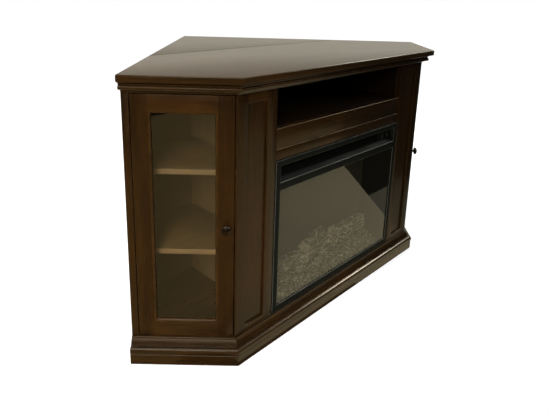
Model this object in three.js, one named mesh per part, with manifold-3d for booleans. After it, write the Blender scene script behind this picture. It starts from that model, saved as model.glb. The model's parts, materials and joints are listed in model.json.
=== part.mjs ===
// Corner media console with an electric fireplace insert. Millimetres, +Z up.
// The front faces -Y. Seen from above the console is a pentagon that fits a square room corner:
// a front face, two angled side faces that are square to the walls, and two wall edges that meet
// at the apex of the rear leaf. The leaf folds down so that the console can stand on a flat wall.
// The console is drawn with the front face on Y = 0 and the middle on X = 0, and the whole is then
// moved so that the origin lies under the middle of its bounding box.

import * as THREE from 'three';
import { mergeVertices } from 'three/addons/utils/BufferGeometryUtils.js';
import Module from 'manifold-3d';

const wasm = await Module();
wasm.setup();

// ---------------------------------------------------------------- driving dimensions

const GAP = 0.3;                 // between pieces that are glued, screwed or seated together
const TURN = Math.PI / 4;        // how far each side face turns back from the front face

// plan of the carcass
const BAY_HALF = 322;            // half the opening between the pilasters
const PILASTER_WIDTH = 143;
const SIDE_WIDTH = 290;          // a side face, from the front corner to the wall
const BACK_Y = 380;              // rear face of the back panel
const SEAM_Y = 417;              // seam between the main top and the rear leaf

// heights, from the floor up: the carcass is as high as what is stacked in its middle bay
const PLINTH_HEIGHT = 72;
const INSERT_LIFT = 3;           // under the fireplace insert's trim
const INSERT_HEIGHT = 486;
const HEADER_HEIGHT = 33;
const FASCIA_GROOVE = 1.6;
const FASCIA_HEIGHT = 58.4;
const MEDIA_BAY_HEIGHT = 115;
const CORNICE_HEIGHT = 31;
const TOP_THICKNESS = 19;
const TOP_OVERHANG = 38;
const TOP_EASE = 3;              // eased arris of the top boards
const SEAM_GAP = 1.6;

// boards
const SIDE_PANEL_THICKNESS = 19;
const DIVIDER_THICKNESS = 16;
const BACK_THICKNESS = 9;
const BOTTOM_THICKNESS = 18;
const SHELF_THICKNESS = 16;
const SHELF_SETBACK = 48;        // shelf front behind the side face
const LOWER_BAY_HEIGHT = 230;    // clear height under the lower shelf
const MIDDLE_BAY_HEIGHT = 220;
const RAIL_THICKNESS = 16;

// plinth and pilasters
const PLINTH_PROJECTION = 28;
const PLINTH_BOARD_HEIGHT = 35;
const PILASTER_THICKNESS = 18;
const PILASTER_STILE = 36;
const PILASTER_TOP_RAIL = 28;
const PILASTER_BOTTOM_RAIL = 20;
const PILASTER_RETURN = 4.5;     // the pilaster's edge that shows on the side face
const PILASTER_RECESS = 6;
const PANEL_THICKNESS = 6;
const PANEL_LAP = 8;             // how far the panel runs behind its frame

// fascia over the insert, and the open shelf over the fascia
const MEDIA_SHELF_THICKNESS = 16;
const FASCIA_SETBACK = 2;
const FASCIA_THICKNESS = 18;
const FASCIA_CLEARANCE = 0.5;
const CABLE_HOLE_WIDTH = 90;
const CABLE_HOLE_HEIGHT = 45;
const SERVICE_HOLE_WIDTH = 500;  // behind the insert
const SERVICE_HOLE_HEIGHT = 380;
const SERVICE_HOLE_RISE = 48;    // above the bottom panel

// doors
const DOOR_THICKNESS = 19;
const DOOR_SIDE_GAP = 2.5;
const DOOR_END_GAP = 3;          // above and below the door
const DOOR_STILE = 42;
const DOOR_BEAD = 8;             // sloped bead round the glass
const GLASS_THICKNESS = 3.8;
const GLASS_LAP = 6;
const PIVOT_INSET = 4.5;         // pivot axis from the door's face and from its edge
const PIVOT_RADIUS = 2;
const PIVOT_CLEARANCE = 0.3;
const PIVOT_LENGTH = 12;
const PIVOT_PLATE_THICKNESS = 1.6;
const PIVOT_PLATE_LENGTH = 28;
const PIVOT_PLATE_WIDTH = 12;
const KNOB_RADIUS = 14;
const KNOB_PROJECTION = 25;
const KNOB_INSET = 20;           // knob axis from the door's free edge
const KNOB_HEIGHT = 335;         // above the door's lower edge

// rear leaf hinge and folding stay
const HINGE_LENGTH = 860;
const HINGE_KNUCKLES = 9;
const HINGE_WIDTH = 24;
const HINGE_PLATE = 1.5;
const HINGE_RADIUS = 3.5;
const HINGE_PIN_RADIUS = 1.5;
const HINGE_CLEARANCE = 0.25;
const HINGE_END_PLAY = 0.5;
const STAY_DROP = 150;           // stay pivot below the hinge pin
const STAY_LENGTH = 230;         // strut, centre to centre
const STAY_BAR_WIDTH = 14;
const STAY_BAR_THICKNESS = 3;
const STAY_SIDE_GAP = 1.5;
const STAY_PIN_RADIUS = 3;
const STAY_SLOT_DEPTH = 10;      // slot centre below the leaf
const STAY_FLANGE_WIDTH = 24;
const STAY_FLANGE_THICKNESS = 2;
const STAY_PLATE_WIDTH = 30;
const STAY_PLATE_MARGIN = 32;

// fireplace insert
const INSERT_CLEARANCE = 1;
const TRIM_BORDER = 19;
const TRIM_BOTTOM_BORDER = 22;
const TRIM_TOP_BORDER = 16;
const TRIM_FACE = 3;
const TRIM_SKIRT = 2;
const TRIM_DEPTH = 18;
const TRIM_PROUD = 2;            // trim face in front of the pilasters
const VENT_HEIGHT = 51;
const CROSSBAR_HEIGHT = 24;
const FIRE_GLASS_THICKNESS = 4;
const FIRE_GLASS_LAP = 6;
const SHELL_WALL = 2;
const SHELL_DEPTH = 210;
const SHELL_TOP_CLEARANCE = 5;   // under the top of the trim
const DECK_LIFT = 8;             // deck over the fire chamber, above the crossbar's lower edge
const SCREEN_SETBACK = 118;      // from the front of the firebox
const SCREEN_THICKNESS = 3;
const GRILLE_SETBACK = 9;        // grille behind the trim's back face
const GRILLE_DEPTH = 18;
const GRILLE_SLATS = 4;
const GRILLE_SLAT_THICKNESS = 1.6;
const GRILLE_SLAT_SLOPE = 0.45;
const GRILLE_LIP_RISE = 11;      // sloped lip behind the trim's crossbar
const GRILLE_LIP_THICKNESS = 1.6;
const CONTROL_PLATE_WIDTH = 90;
const BUTTON_RADIUS = 7;
const BUTTON_CLEARANCE = 0.4;
const BUTTON_TRAVEL = 2.5;
const BUTTON_SPACING = 32;
const BUTTON_FLANGE = 2;
const BLOWER_RADIUS = 19;
const BLOWER_LENGTH = 300;
const BLOWER_BLADES = 16;
const BLOWER_BLADE_DEPTH = 8;
const BLOWER_SETBACK = 114;
const BLOWER_LIFT = 38;          // shaft above the deck
const BLOWER_MOTOR_RADIUS = 24;
const BLOWER_MOTOR_LENGTH = 50;
const SHAFT_RADIUS = 3;
const SHAFT_CLEARANCE = 0.3;
const ROTOR_SETBACK = 44;        // behind the flame screen
const ROTOR_LIFT = 56;           // above the firebox floor
const ROTOR_END_SPACE = 24;      // from the last flags to the bearing and the motor
const ROTOR_FLAGS = 14;
const ROTOR_FLAG_RADIUS = 24;
const ROTOR_FLAG_GAP = 8;
const ROTOR_MOTOR_RADIUS = 22;
const ROTOR_MOTOR_LENGTH = 36;
const BEARING_LENGTH = 12;
const BEARING_RADIUS = 9;
const BED_FRONT_HEIGHT = 26;
const BED_REAR_HEIGHT = 70;
const BED_CLEARANCE = 6;         // ember bed to the glass
const BED_SIDE_CLEARANCE = 34;   // ember bed to each side wall
const REAR_LOG_RADIUS = 25;
const REAR_LOG_START = 72;       // from the bed's left end
const REAR_LOG_END = 16;         // from the bed's right end
const REAR_LOG_FORWARD = 44;     // in front of the flame screen
const REAR_LOG_RISE = 9;         // axis above the bed's rear edge
const TOP_LOG_RADIUS = 21;
const LEFT_LOG_START = 148;
const LEFT_LOG_SPAN = 138;
const LEFT_LOG_FORWARD = 34;     // its left end in front of the rear log's axis
const LEFT_LOG_BACK = 12;        // its right end behind the rear log's axis
const LEFT_LOG_LOW = 34;
const LEFT_LOG_HIGH = 50;
const RIGHT_LOG_END = 22;
const RIGHT_LOG_SPAN = 190;
const RIGHT_LOG_FORWARD = 10;
const RIGHT_LOG_BACK = 4;
const RIGHT_LOG_HIGH = 44;
const RIGHT_LOG_LOW = 30;
const LOG_KNOB_PITCH = 20;
const INTAKE_COUNT = 5;
const INTAKE_PITCH = 80;
const INTAKE_WIDTH = 60;
const INTAKE_HEIGHT = 8;
const INTAKE_LIFT = 48;          // above the deck
const INLET_INSET = 78;          // from the firebox's right side
const INLET_LIFT = 40;           // above the firebox's underside
const INLET_RADIUS = 9;
const INLET_LENGTH = 22;
const CORD_BORE_RADIUS = 4;

// ---------------------------------------------------------------- materials

const finish = (color, roughness, metalness = 0) =>
  new THREE.MeshStandardMaterial({ color, roughness, metalness });

const espresso = finish('#3b2116', 0.38);
const espressoTop = finish('#33201a', 0.3);
const interior = finish('#57452c', 0.6);
const shelfEdge = finish('#8a7448', 0.6);
const blackSteel = finish('#151515', 0.45, 0.4);
const clearGlass = finish('#b9c4bd', 0.05);
clearGlass.transparent = true;
clearGlass.opacity = 0.3;
const smokedGlass = finish('#4c4a3c', 0.05);
smokedGlass.transparent = true;
smokedGlass.opacity = 0.4;
const bronze = finish('#1d1815', 0.35, 0.8);
const zincSteel = finish('#8d8f90', 0.4, 0.9);
const emberResin = finish('#8b8270', 0.75);
const logResin = finish('#958b79', 0.8);
const screenPlastic = finish('#59553f', 0.35);
const brightTin = finish('#b9b9b4', 0.2, 0.9);
const blackPlastic = finish('#101010', 0.5);
const motorSteel = finish('#7b7d7c', 0.5, 0.8);

// ---------------------------------------------------------------- plan geometry

const FRONT_HALF = BAY_HALF + PILASTER_WIDTH;
const sinT = Math.sin(TURN);
const cosT = Math.cos(TURN);
const tanHalf = Math.tan(TURN / 2);

// a point of the left side face's own frame: u from the front corner towards the wall,
// depth inwards from the face
const sidePoint = (u, depth) => [
  -FRONT_HALF - u * cosT + depth * sinT,
  u * sinT + depth * cosT,
];
// distance u on the line at this depth where it crosses a line of constant Y
const sideAtY = (y, depth) => (y - depth * cosT) / sinT;
// depth on the line at this u where it crosses a line of constant Y
const depthAtY = (y, u) => (y - u * sinT) / cosT;
// X of the left wall line at this Y
const wallX = (y) => sidePoint(SIDE_WIDTH, depthAtY(y, SIDE_WIDTH))[0];
const APEX_Y = (() => {
  const [x, y] = sidePoint(SIDE_WIDTH, 0);
  return y - (x * cosT) / sinT;
})();

const mirrorPoints = (points) => points.map(([x, y]) => [-x, y]).reverse();
const bothSides = (leftPoints) => [...leftPoints, ...mirrorPoints(leftPoints)];

const carcassOutline = (inset, backY) => bothSides([
  [wallX(backY), backY],
  sidePoint(SIDE_WIDTH, inset),
  [-FRONT_HALF + inset * tanHalf, inset],
]);

// ---------------------------------------------------------------- solids

const bare = (geometry) => {
  const g = geometry.index ? geometry.toNonIndexed() : geometry.clone();
  g.deleteAttribute('normal');
  g.deleteAttribute('uv');
  return mergeVertices(g, 1e-4);
};

const toSolid = (geometry) => {
  const g = bare(geometry);
  const mesh = new wasm.Mesh({
    numProp: 3,
    vertProperties: new Float32Array(g.attributes.position.array),
    triVerts: new Uint32Array(g.index.array),
  });
  return new wasm.Manifold(mesh);
};

const toGeometry = (solid) => {
  const mesh = solid.getMesh();
  const g = new THREE.BufferGeometry();
  g.setAttribute('position', new THREE.BufferAttribute(new Float32Array(mesh.vertProperties), 3));
  g.setIndex(new THREE.BufferAttribute(new Uint32Array(mesh.triVerts), 1));
  g.computeVertexNormals();
  return g;
};

const box = (x0, x1, y0, y1, z0, z1) => {
  const g = new THREE.BoxGeometry(x1 - x0, y1 - y0, z1 - z0);
  return g.translate((x0 + x1) / 2, (y0 + y1) / 2, (z0 + z1) / 2);
};

const outline = (points) => new THREE.Shape(points.map(([x, y]) => new THREE.Vector2(x, y)));

const prism = (points, z0, z1) => {
  const g = new THREE.ExtrudeGeometry(outline(points), { depth: z1 - z0, bevelEnabled: false });
  return g.translate(0, 0, z0);
};

// a board whose arrises are eased by a small chamfer
const easedBoard = (points, z0, z1, ease) => {
  const g = new THREE.ExtrudeGeometry(outline(points), {
    depth: z1 - z0 - 2 * ease,
    bevelEnabled: true,
    bevelThickness: ease,
    bevelSize: ease,
    bevelOffset: -ease,
    bevelSegments: 2,
  });
  return g.translate(0, 0, z0 + ease);
};

// a round bar along X, from x0 to x1
const bar = (x0, x1, y, z, radius, sides = 20) => {
  const g = new THREE.CylinderGeometry(radius, radius, x1 - x0, sides);
  return g.rotateZ(-Math.PI / 2).translate((x0 + x1) / 2, y, z);
};

// a round bar along Y, from y0 to y1
const barY = (y0, y1, x, z, radius, sides = 24) => {
  const g = new THREE.CylinderGeometry(radius, radius, y1 - y0, sides);
  return g.translate(x, (y0 + y1) / 2, z);
};

// an upright round bar, from z0 to z1
const post = (z0, z1, x, y, radius, sides = 16) => {
  const g = new THREE.CylinderGeometry(radius, radius, z1 - z0, sides);
  return g.rotateX(Math.PI / 2).translate(x, y, (z0 + z1) / 2);
};

// a shape drawn in the Y-Z plane and given a width along X
const plateX = (shape, x0, x1) => {
  const g = new THREE.ExtrudeGeometry(shape, { depth: x1 - x0, bevelEnabled: false, curveSegments: 10 });
  return g.rotateY(Math.PI / 2).rotateX(Math.PI / 2).translate(x0, 0, 0);
};

const cut = (geometry, ...tools) => {
  let solid = toSolid(geometry);
  for (const tool of tools) {
    solid = solid.subtract(toSolid(tool));
  }
  return toGeometry(solid);
};

const join = (geometry, ...others) => {
  let solid = toSolid(geometry);
  for (const other of others) {
    solid = solid.add(toSolid(other));
  }
  return toGeometry(solid);
};

const mirrorX = (geometry) => {
  const g = geometry.clone().scale(-1, 1, 1);
  const flipped = g.index ? g.toNonIndexed() : g;
  const p = flipped.attributes.position;
  for (let i = 0; i < p.count; i += 3) {
    const [x, y, z] = [p.getX(i), p.getY(i), p.getZ(i)];
    p.setXYZ(i, p.getX(i + 1), p.getY(i + 1), p.getZ(i + 1));
    p.setXYZ(i + 1, x, y, z);
  }
  return bare(flipped);
};

// a moulding: a profile of [outward, z] points run along X from start to end. Its outer face
// looks to -Y, and each end is mitred by the tangent given for it.
const moulding = (profile, start, end, startMitre, endMitre) => {
  const g = new THREE.ExtrudeGeometry(outline(profile), { depth: end - start, bevelEnabled: false });
  const p = g.attributes.position;
  for (let i = 0; i < p.count; i += 1) {
    const out = p.getX(i);
    const z = p.getY(i);
    const atStart = p.getZ(i) > (end - start) / 2;
    const x = atStart ? start - out * startMitre : end + out * endMitre;
    p.setXYZ(i, x, -out, z);
  }
  return bare(g);
};

// ---------------------------------------------------------------- scene

const fireplace = new THREE.Group();
const carcass = new THREE.Group();
carcass.position.set(0, -(APEX_Y - TOP_OVERHANG) / 2, 0);
fireplace.add(carcass);

// The side frames have X along the side face, towards the right, and Y inwards. In the left one
// the front corner is at X = 0 and the wall at X = -SIDE_WIDTH; the right one is its mirror.
const leftSide = new THREE.Group();
leftSide.position.set(-FRONT_HALF, 0, 0);
leftSide.rotation.z = -TURN;
const rightSide = new THREE.Group();
rightSide.position.set(FRONT_HALF, 0, 0);
rightSide.rotation.z = TURN;
carcass.add(leftSide, rightSide);

const place = (name, geometry, material, parent = carcass) => {
  const mesh = new THREE.Mesh(geometry, material);
  mesh.name = name;
  parent.add(mesh);
  return mesh;
};

const placePair = (name, geometry, material) => {
  place(`left_${name}`, geometry, material);
  place(`right_${name}`, mirrorX(geometry), material);
};

const placeSidePair = (name, geometry, material) => {
  place(`left_${name}`, geometry, material, leftSide);
  place(`right_${name}`, mirrorX(geometry), material, rightSide);
};

// ---------------------------------------------------------------- heights and top

const INSERT_BOTTOM = PLINTH_HEIGHT + INSERT_LIFT;
const INSERT_TOP = INSERT_BOTTOM + INSERT_HEIGHT;
const HEADER_LOW = INSERT_TOP + INSERT_CLEARANCE;
const FASCIA_LOW = HEADER_LOW + HEADER_HEIGHT + FASCIA_GROOVE;
const MEDIA_FLOOR = FASCIA_LOW + FASCIA_HEIGHT;
const CARCASS_HEIGHT = MEDIA_FLOOR + MEDIA_BAY_HEIGHT;
const TOP_BOTTOM = CARCASS_HEIGHT + CORNICE_HEIGHT;
const TOP_Z = TOP_BOTTOM + TOP_THICKNESS;

const buildTop = () => {
  const rearY = SEAM_Y - SEAM_GAP / 2;
  const points = bothSides([
    [wallX(rearY), rearY],
    sidePoint(SIDE_WIDTH, -TOP_OVERHANG),
    [-FRONT_HALF - TOP_OVERHANG * tanHalf, -TOP_OVERHANG],
  ]);
  place('main_top', easedBoard(points, TOP_BOTTOM, TOP_Z, TOP_EASE), espressoTop);

  const leafY = SEAM_Y + SEAM_GAP / 2;
  const leaf = [[wallX(leafY), leafY], [-wallX(leafY), leafY], [0, APEX_Y]];
  place('rear_leaf', easedBoard(leaf, TOP_BOTTOM, TOP_Z, TOP_EASE), espressoTop);

  const subTop = carcassOutline(GAP, BACK_Y);
  place('sub_top', prism(subTop, CARCASS_HEIGHT, TOP_BOTTOM - GAP), interior);
};

// cornice: a hollow that sweeps out to a bold bead, a quirk, and a cove that spreads under the top
const CORNICE_BEAD_RADIUS = 6;
const CORNICE_BEAD_OUT = 22;     // nose of the bead
const CORNICE_BEAD_Z = 15;       // middle of the bead above the bottom of the cornice
const CORNICE_QUIRK = 1;
const CORNICE_COVE_IN = 18;
const CORNICE_COVE_OUT = 31;

const corniceProfile = () => {
  const z0 = CARCASS_HEIGHT;
  const z1 = TOP_BOTTOM - GAP;
  const beadZ = z0 + CORNICE_BEAD_Z;
  const beadCentre = CORNICE_BEAD_OUT - CORNICE_BEAD_RADIUS;
  const hollowTop = beadZ - CORNICE_BEAD_RADIUS;
  const points = [[0, z0]];
  for (let i = 1; i <= 4; i += 1) {
    const a = (Math.PI / 2) * (i / 4.5);
    points.push([
      (beadCentre - 1) * (1 - Math.cos(a)),
      z0 + (hollowTop - z0) * Math.sin(a),
    ]);
  }
  for (let i = 0; i <= 8; i += 1) {
    const a = -Math.PI / 2 + Math.PI * 0.92 * (i / 8);
    points.push([
      beadCentre + CORNICE_BEAD_RADIUS * Math.cos(a),
      beadZ + CORNICE_BEAD_RADIUS * Math.sin(a),
    ]);
  }
  const coveBottom = beadZ + CORNICE_BEAD_RADIUS + CORNICE_QUIRK;
  for (let i = 0; i <= 6; i += 1) {
    const a = (Math.PI / 2) * (i / 6);
    points.push([
      CORNICE_COVE_OUT - (CORNICE_COVE_OUT - CORNICE_COVE_IN) * Math.cos(a),
      coveBottom + (z1 - CORNICE_QUIRK - coveBottom) * Math.sin(a),
    ]);
  }
  points.push([CORNICE_COVE_OUT, z1], [0, z1]);
  return points;
};

// plinth: a plain board, a bullnose above it and a cove up to a small fillet
const PLINTH_NOSE_RADIUS = 7;
const PLINTH_NOSE_STEP = 2;      // the bullnose stands this far proud of the plain board
const PLINTH_FILLET = 4;
const PLINTH_FILLET_HEIGHT = 4;

const plinthProfile = () => {
  const boardOut = PLINTH_PROJECTION - PLINTH_NOSE_STEP;
  const noseZ = PLINTH_BOARD_HEIGHT + PLINTH_NOSE_RADIUS;
  const points = [[0, 0], [boardOut, 0], [boardOut, PLINTH_BOARD_HEIGHT]];
  for (let i = 0; i <= 8; i += 1) {
    const a = -Math.PI / 2 + Math.PI * 0.86 * (i / 8);
    points.push([
      PLINTH_PROJECTION - PLINTH_NOSE_RADIUS * (1 - Math.cos(a)),
      noseZ + PLINTH_NOSE_RADIUS * Math.sin(a),
    ]);
  }
  const coveOut = PLINTH_PROJECTION - PLINTH_NOSE_RADIUS * 2;
  const coveBottom = noseZ + PLINTH_NOSE_RADIUS + 0.5;
  const coveTop = PLINTH_HEIGHT - PLINTH_FILLET_HEIGHT;
  for (let i = 0; i <= 6; i += 1) {
    const a = (Math.PI / 2) * (i / 6);
    points.push([
      coveOut - (coveOut - PLINTH_FILLET) * Math.sin(a),
      coveTop - (coveTop - coveBottom) * Math.cos(a),
    ]);
  }
  points.push([PLINTH_FILLET, PLINTH_HEIGHT], [0, PLINTH_HEIGHT]);
  return points;
};

const buildMouldings = () => {
  const ends = FRONT_HALF - GAP / 2;
  const sideEnd = -GAP / 2;
  for (const [name, profile] of [['cornice', corniceProfile()], ['plinth', plinthProfile()]]) {
    place(`${name}_front`, moulding(profile, -ends, ends, tanHalf, tanHalf), espresso);
    const side = moulding(profile, -SIDE_WIDTH, sideEnd, 0, tanHalf);
    place(`${name}_left`, side, espresso, leftSide);
    place(`${name}_right`, mirrorX(side), espresso, rightSide);
  }
};

// ---------------------------------------------------------------- carcass

const SIDE_INNER_U = SIDE_WIDTH - SIDE_PANEL_THICKNESS;
const BACK_FRONT_Y = BACK_Y - BACK_THICKNESS;
const BOARD_LOW = PLINTH_HEIGHT + GAP;
const BOARD_HIGH = CARCASS_HEIGHT - GAP;
const DIVIDER_OUTER = BAY_HALF + DIVIDER_THICKNESS;

const buildCarcass = () => {
  const bottomLow = PLINTH_HEIGHT - BOTTOM_THICKNESS;
  place('bottom_panel', prism(carcassOutline(GAP, BACK_Y), bottomLow, PLINTH_HEIGHT), interior);

  const endY = BACK_FRONT_Y - GAP;
  const sidePanel = [
    sidePoint(SIDE_INNER_U, 0),
    sidePoint(SIDE_INNER_U, depthAtY(endY, SIDE_INNER_U)),
    sidePoint(SIDE_WIDTH, depthAtY(endY, SIDE_WIDTH)),
    sidePoint(SIDE_WIDTH, 0),
  ];
  placePair('side_panel', prism(sidePanel, BOARD_LOW, BOARD_HIGH), espresso);

  const divider = box(-DIVIDER_OUTER, -BAY_HALF, PILASTER_THICKNESS + GAP, endY, BOARD_LOW, BOARD_HIGH);
  placePair('divider', divider, interior);

  const back = prism([
    [wallX(BACK_FRONT_Y), BACK_FRONT_Y],
    [wallX(BACK_Y), BACK_Y],
    [-wallX(BACK_Y), BACK_Y],
    [-wallX(BACK_FRONT_Y), BACK_FRONT_Y],
  ], BOARD_LOW, BOARD_HIGH);
  const through = [BACK_FRONT_Y - 1, BACK_Y + 1];
  const cableZ = (MEDIA_FLOOR + CARCASS_HEIGHT) / 2;
  const cableHole = box(
    -CABLE_HOLE_WIDTH / 2, CABLE_HOLE_WIDTH / 2, ...through,
    cableZ - CABLE_HOLE_HEIGHT / 2, cableZ + CABLE_HOLE_HEIGHT / 2,
  );
  const serviceLow = PLINTH_HEIGHT + SERVICE_HOLE_RISE;
  const serviceHole = box(
    -SERVICE_HOLE_WIDTH / 2, SERVICE_HOLE_WIDTH / 2, ...through,
    serviceLow, serviceLow + SERVICE_HOLE_HEIGHT,
  );
  place('back_panel', cut(back, cableHole, serviceHole), interior);

  const railHalf = -wallX(BACK_Y) - SIDE_PANEL_THICKNESS;
  const railLow = PLINTH_HEIGHT - BOTTOM_THICKNESS - GAP;
  place('rear_rail', box(-railHalf, railHalf, BACK_Y - RAIL_THICKNESS, BACK_Y, 0, railLow), interior);
};

const buildPilasters = () => {
  const backDepth = depthAtY(PILASTER_THICKNESS, PILASTER_RETURN);
  const board = prism([
    [-FRONT_HALF, 0],
    sidePoint(PILASTER_RETURN, 0),
    sidePoint(PILASTER_RETURN, backDepth),
    [-BAY_HALF, PILASTER_THICKNESS],
    [-BAY_HALF, 0],
  ].reverse(), BOARD_LOW, BOARD_HIGH);
  const x0 = -FRONT_HALF + PILASTER_STILE;
  const x1 = -BAY_HALF - PILASTER_STILE;
  const z0 = PLINTH_HEIGHT + PILASTER_BOTTOM_RAIL;
  const z1 = CARCASS_HEIGHT - PILASTER_TOP_RAIL;
  const window = box(x0, x1, -1, PILASTER_THICKNESS + 1, z0, z1);
  const lap = PANEL_LAP + GAP;
  const rebate = box(
    x0 - lap, x1 + lap, PILASTER_RECESS, PILASTER_THICKNESS + 1, z0 - lap, z1 + lap,
  );
  placePair('pilaster_frame', cut(board, window, rebate), espresso);
  const panelY = PILASTER_RECESS + GAP;
  const panel = box(
    x0 - PANEL_LAP, x1 + PANEL_LAP, panelY, panelY + PANEL_THICKNESS, z0 - PANEL_LAP, z1 + PANEL_LAP,
  );
  placePair('pilaster_panel', panel, espresso);
};

const buildFascia = () => {
  const half = BAY_HALF - FASCIA_CLEARANCE;
  const y0 = FASCIA_SETBACK;
  const y1 = FASCIA_SETBACK + FASCIA_THICKNESS;
  place('fascia_board', box(-half, half, y0, y1, FASCIA_LOW, MEDIA_FLOOR), espresso);
  const header = box(-half, half, y0, y1, HEADER_LOW, HEADER_LOW + HEADER_HEIGHT);
  place('header_rail', header, espresso);
  const shelfHalf = BAY_HALF - GAP;
  const shelf = box(
    -shelfHalf, shelfHalf, y1 + GAP, BACK_FRONT_Y - GAP,
    MEDIA_FLOOR - MEDIA_SHELF_THICKNESS, MEDIA_FLOOR,
  );
  place('av_shelf', shelf, espresso);
};

const buildShelves = () => {
  const wallU = SIDE_INNER_U - GAP;
  const backY = BACK_FRONT_Y - GAP;
  const frontY = PILASTER_THICKNESS + GAP;
  const dividerX = -DIVIDER_OUTER - GAP;
  const points = [
    [dividerX, backY],
    sidePoint(wallU, depthAtY(backY, wallU)),
    sidePoint(wallU, SHELF_SETBACK),
    sidePoint(sideAtY(frontY, SHELF_SETBACK), SHELF_SETBACK),
    [dividerX, frontY],
  ];
  const lower = PLINTH_HEIGHT + LOWER_BAY_HEIGHT;
  const upper = lower + SHELF_THICKNESS + MIDDLE_BAY_HEIGHT;
  for (const [name, low] of [['lower_shelf', lower], ['upper_shelf', upper]]) {
    placePair(name, prism(points, low, low + SHELF_THICKNESS), shelfEdge);
  }
};

// ---------------------------------------------------------------- doors, in the side frame

const DOOR_HINGE_X = -SIDE_INNER_U + DOOR_SIDE_GAP;
const DOOR_FREE_X = -PILASTER_RETURN - DOOR_SIDE_GAP;
const DOOR_LOW = PLINTH_HEIGHT + DOOR_END_GAP;
const DOOR_HIGH = CARCASS_HEIGHT - DOOR_END_GAP;

// a frustum between two rectangles, y0 to y1, whose far end is smaller by the slope all round
const slopedCut = (x0, x1, y0, y1, z0, z1, slope) => {
  const g = box(x0, x1, y0, y1, z0, z1);
  const p = g.attributes.position;
  for (let i = 0; i < p.count; i += 1) {
    if (p.getY(i) > (y0 + y1) / 2) {
      p.setX(i, p.getX(i) + (p.getX(i) < (x0 + x1) / 2 ? slope : -slope));
      p.setZ(i, p.getZ(i) + (p.getZ(i) < (z0 + z1) / 2 ? slope : -slope));
    }
  }
  return g;
};

const buildDoors = () => {
  const x0 = DOOR_HINGE_X + DOOR_STILE;
  const x1 = DOOR_FREE_X - DOOR_STILE;
  const z0 = DOOR_LOW + DOOR_STILE;
  const z1 = DOOR_HIGH - DOOR_STILE;
  const bead = DOOR_BEAD;
  const glassY = DOOR_BEAD + 1;
  const slab = box(DOOR_HINGE_X, DOOR_FREE_X, 0, DOOR_THICKNESS, DOOR_LOW, DOOR_HIGH);
  const face = slopedCut(x0 - 1, x1 + 1, -1, bead, z0 - 1, z1 + 1, bead + 1);
  const sight = box(x0 + bead, x1 - bead, 0, DOOR_THICKNESS + 1, z0 + bead, z1 - bead);
  const lap = GLASS_LAP + GAP - bead;
  const groove = box(
    x0 - lap, x1 + lap, glassY, glassY + GLASS_THICKNESS + 2 * GAP, z0 - lap, z1 + lap,
  );
  const pivotX = DOOR_HINGE_X + PIVOT_INSET;
  const boreRadius = PIVOT_RADIUS + PIVOT_CLEARANCE;
  const boreDepth = PIVOT_LENGTH + 1;
  const topBore = post(DOOR_HIGH - boreDepth, DOOR_HIGH + 1, pivotX, PIVOT_INSET, boreRadius);
  const bottomBore = post(DOOR_LOW - 1, DOOR_LOW + boreDepth, pivotX, PIVOT_INSET, boreRadius);
  placeSidePair('door_frame', cut(slab, face, sight, groove, topBore, bottomBore), espresso);

  const rim = GLASS_LAP - bead;
  const pane = box(
    x0 - rim, x1 + rim, glassY + GAP, glassY + GAP + GLASS_THICKNESS, z0 - rim, z1 + rim,
  );
  placeSidePair('door_glass', pane, clearGlass);
  buildKnobs();
  buildPivots(pivotX);
};

// the knob's profile, as shares of its radius and its projection
const KNOB_SHAPE = [
  [0, 0], [0.46, 0], [0.46, 0.06], [0.32, 0.12], [0.29, 0.36], [0.39, 0.48], [0.68, 0.54],
  [0.96, 0.6], [1, 0.7], [0.91, 0.82], [0.64, 0.94], [0.36, 0.99], [0, 1],
];

const buildKnobs = () => {
  const profile = KNOB_SHAPE.map(([r, h]) => (
    new THREE.Vector2(r * KNOB_RADIUS, h * KNOB_PROJECTION)));
  const knob = bare(new THREE.LatheGeometry(profile, 28).rotateX(Math.PI));
  knob.translate(DOOR_FREE_X - KNOB_INSET, -GAP, DOOR_LOW + KNOB_HEIGHT);
  placeSidePair('door_knob', knob, bronze);
};

const buildPivots = (pivotX) => {
  const plateX0 = pivotX - 2.8;
  const plateY0 = PIVOT_INSET - 3.5;
  const plate = (z0) => box(
    plateX0, plateX0 + PIVOT_PLATE_LENGTH, plateY0, plateY0 + PIVOT_PLATE_WIDTH,
    z0, z0 + PIVOT_PLATE_THICKNESS,
  );
  const low = PLINTH_HEIGHT + GAP;
  const high = CARCASS_HEIGHT - GAP - PIVOT_PLATE_THICKNESS;
  const lowPin = post(low + 0.5, DOOR_LOW + PIVOT_LENGTH, pivotX, PIVOT_INSET, PIVOT_RADIUS);
  const highPin = post(DOOR_HIGH - PIVOT_LENGTH, high + 0.5, pivotX, PIVOT_INSET, PIVOT_RADIUS);
  placeSidePair('door_bottom_pivot', join(plate(low), lowPin), zincSteel);
  placeSidePair('door_top_pivot', join(plate(high), highPin), zincSteel);
};

// ---------------------------------------------------------------- rear leaf hinge and stay

const HINGE_Z = TOP_BOTTOM - GAP - HINGE_RADIUS;

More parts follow.
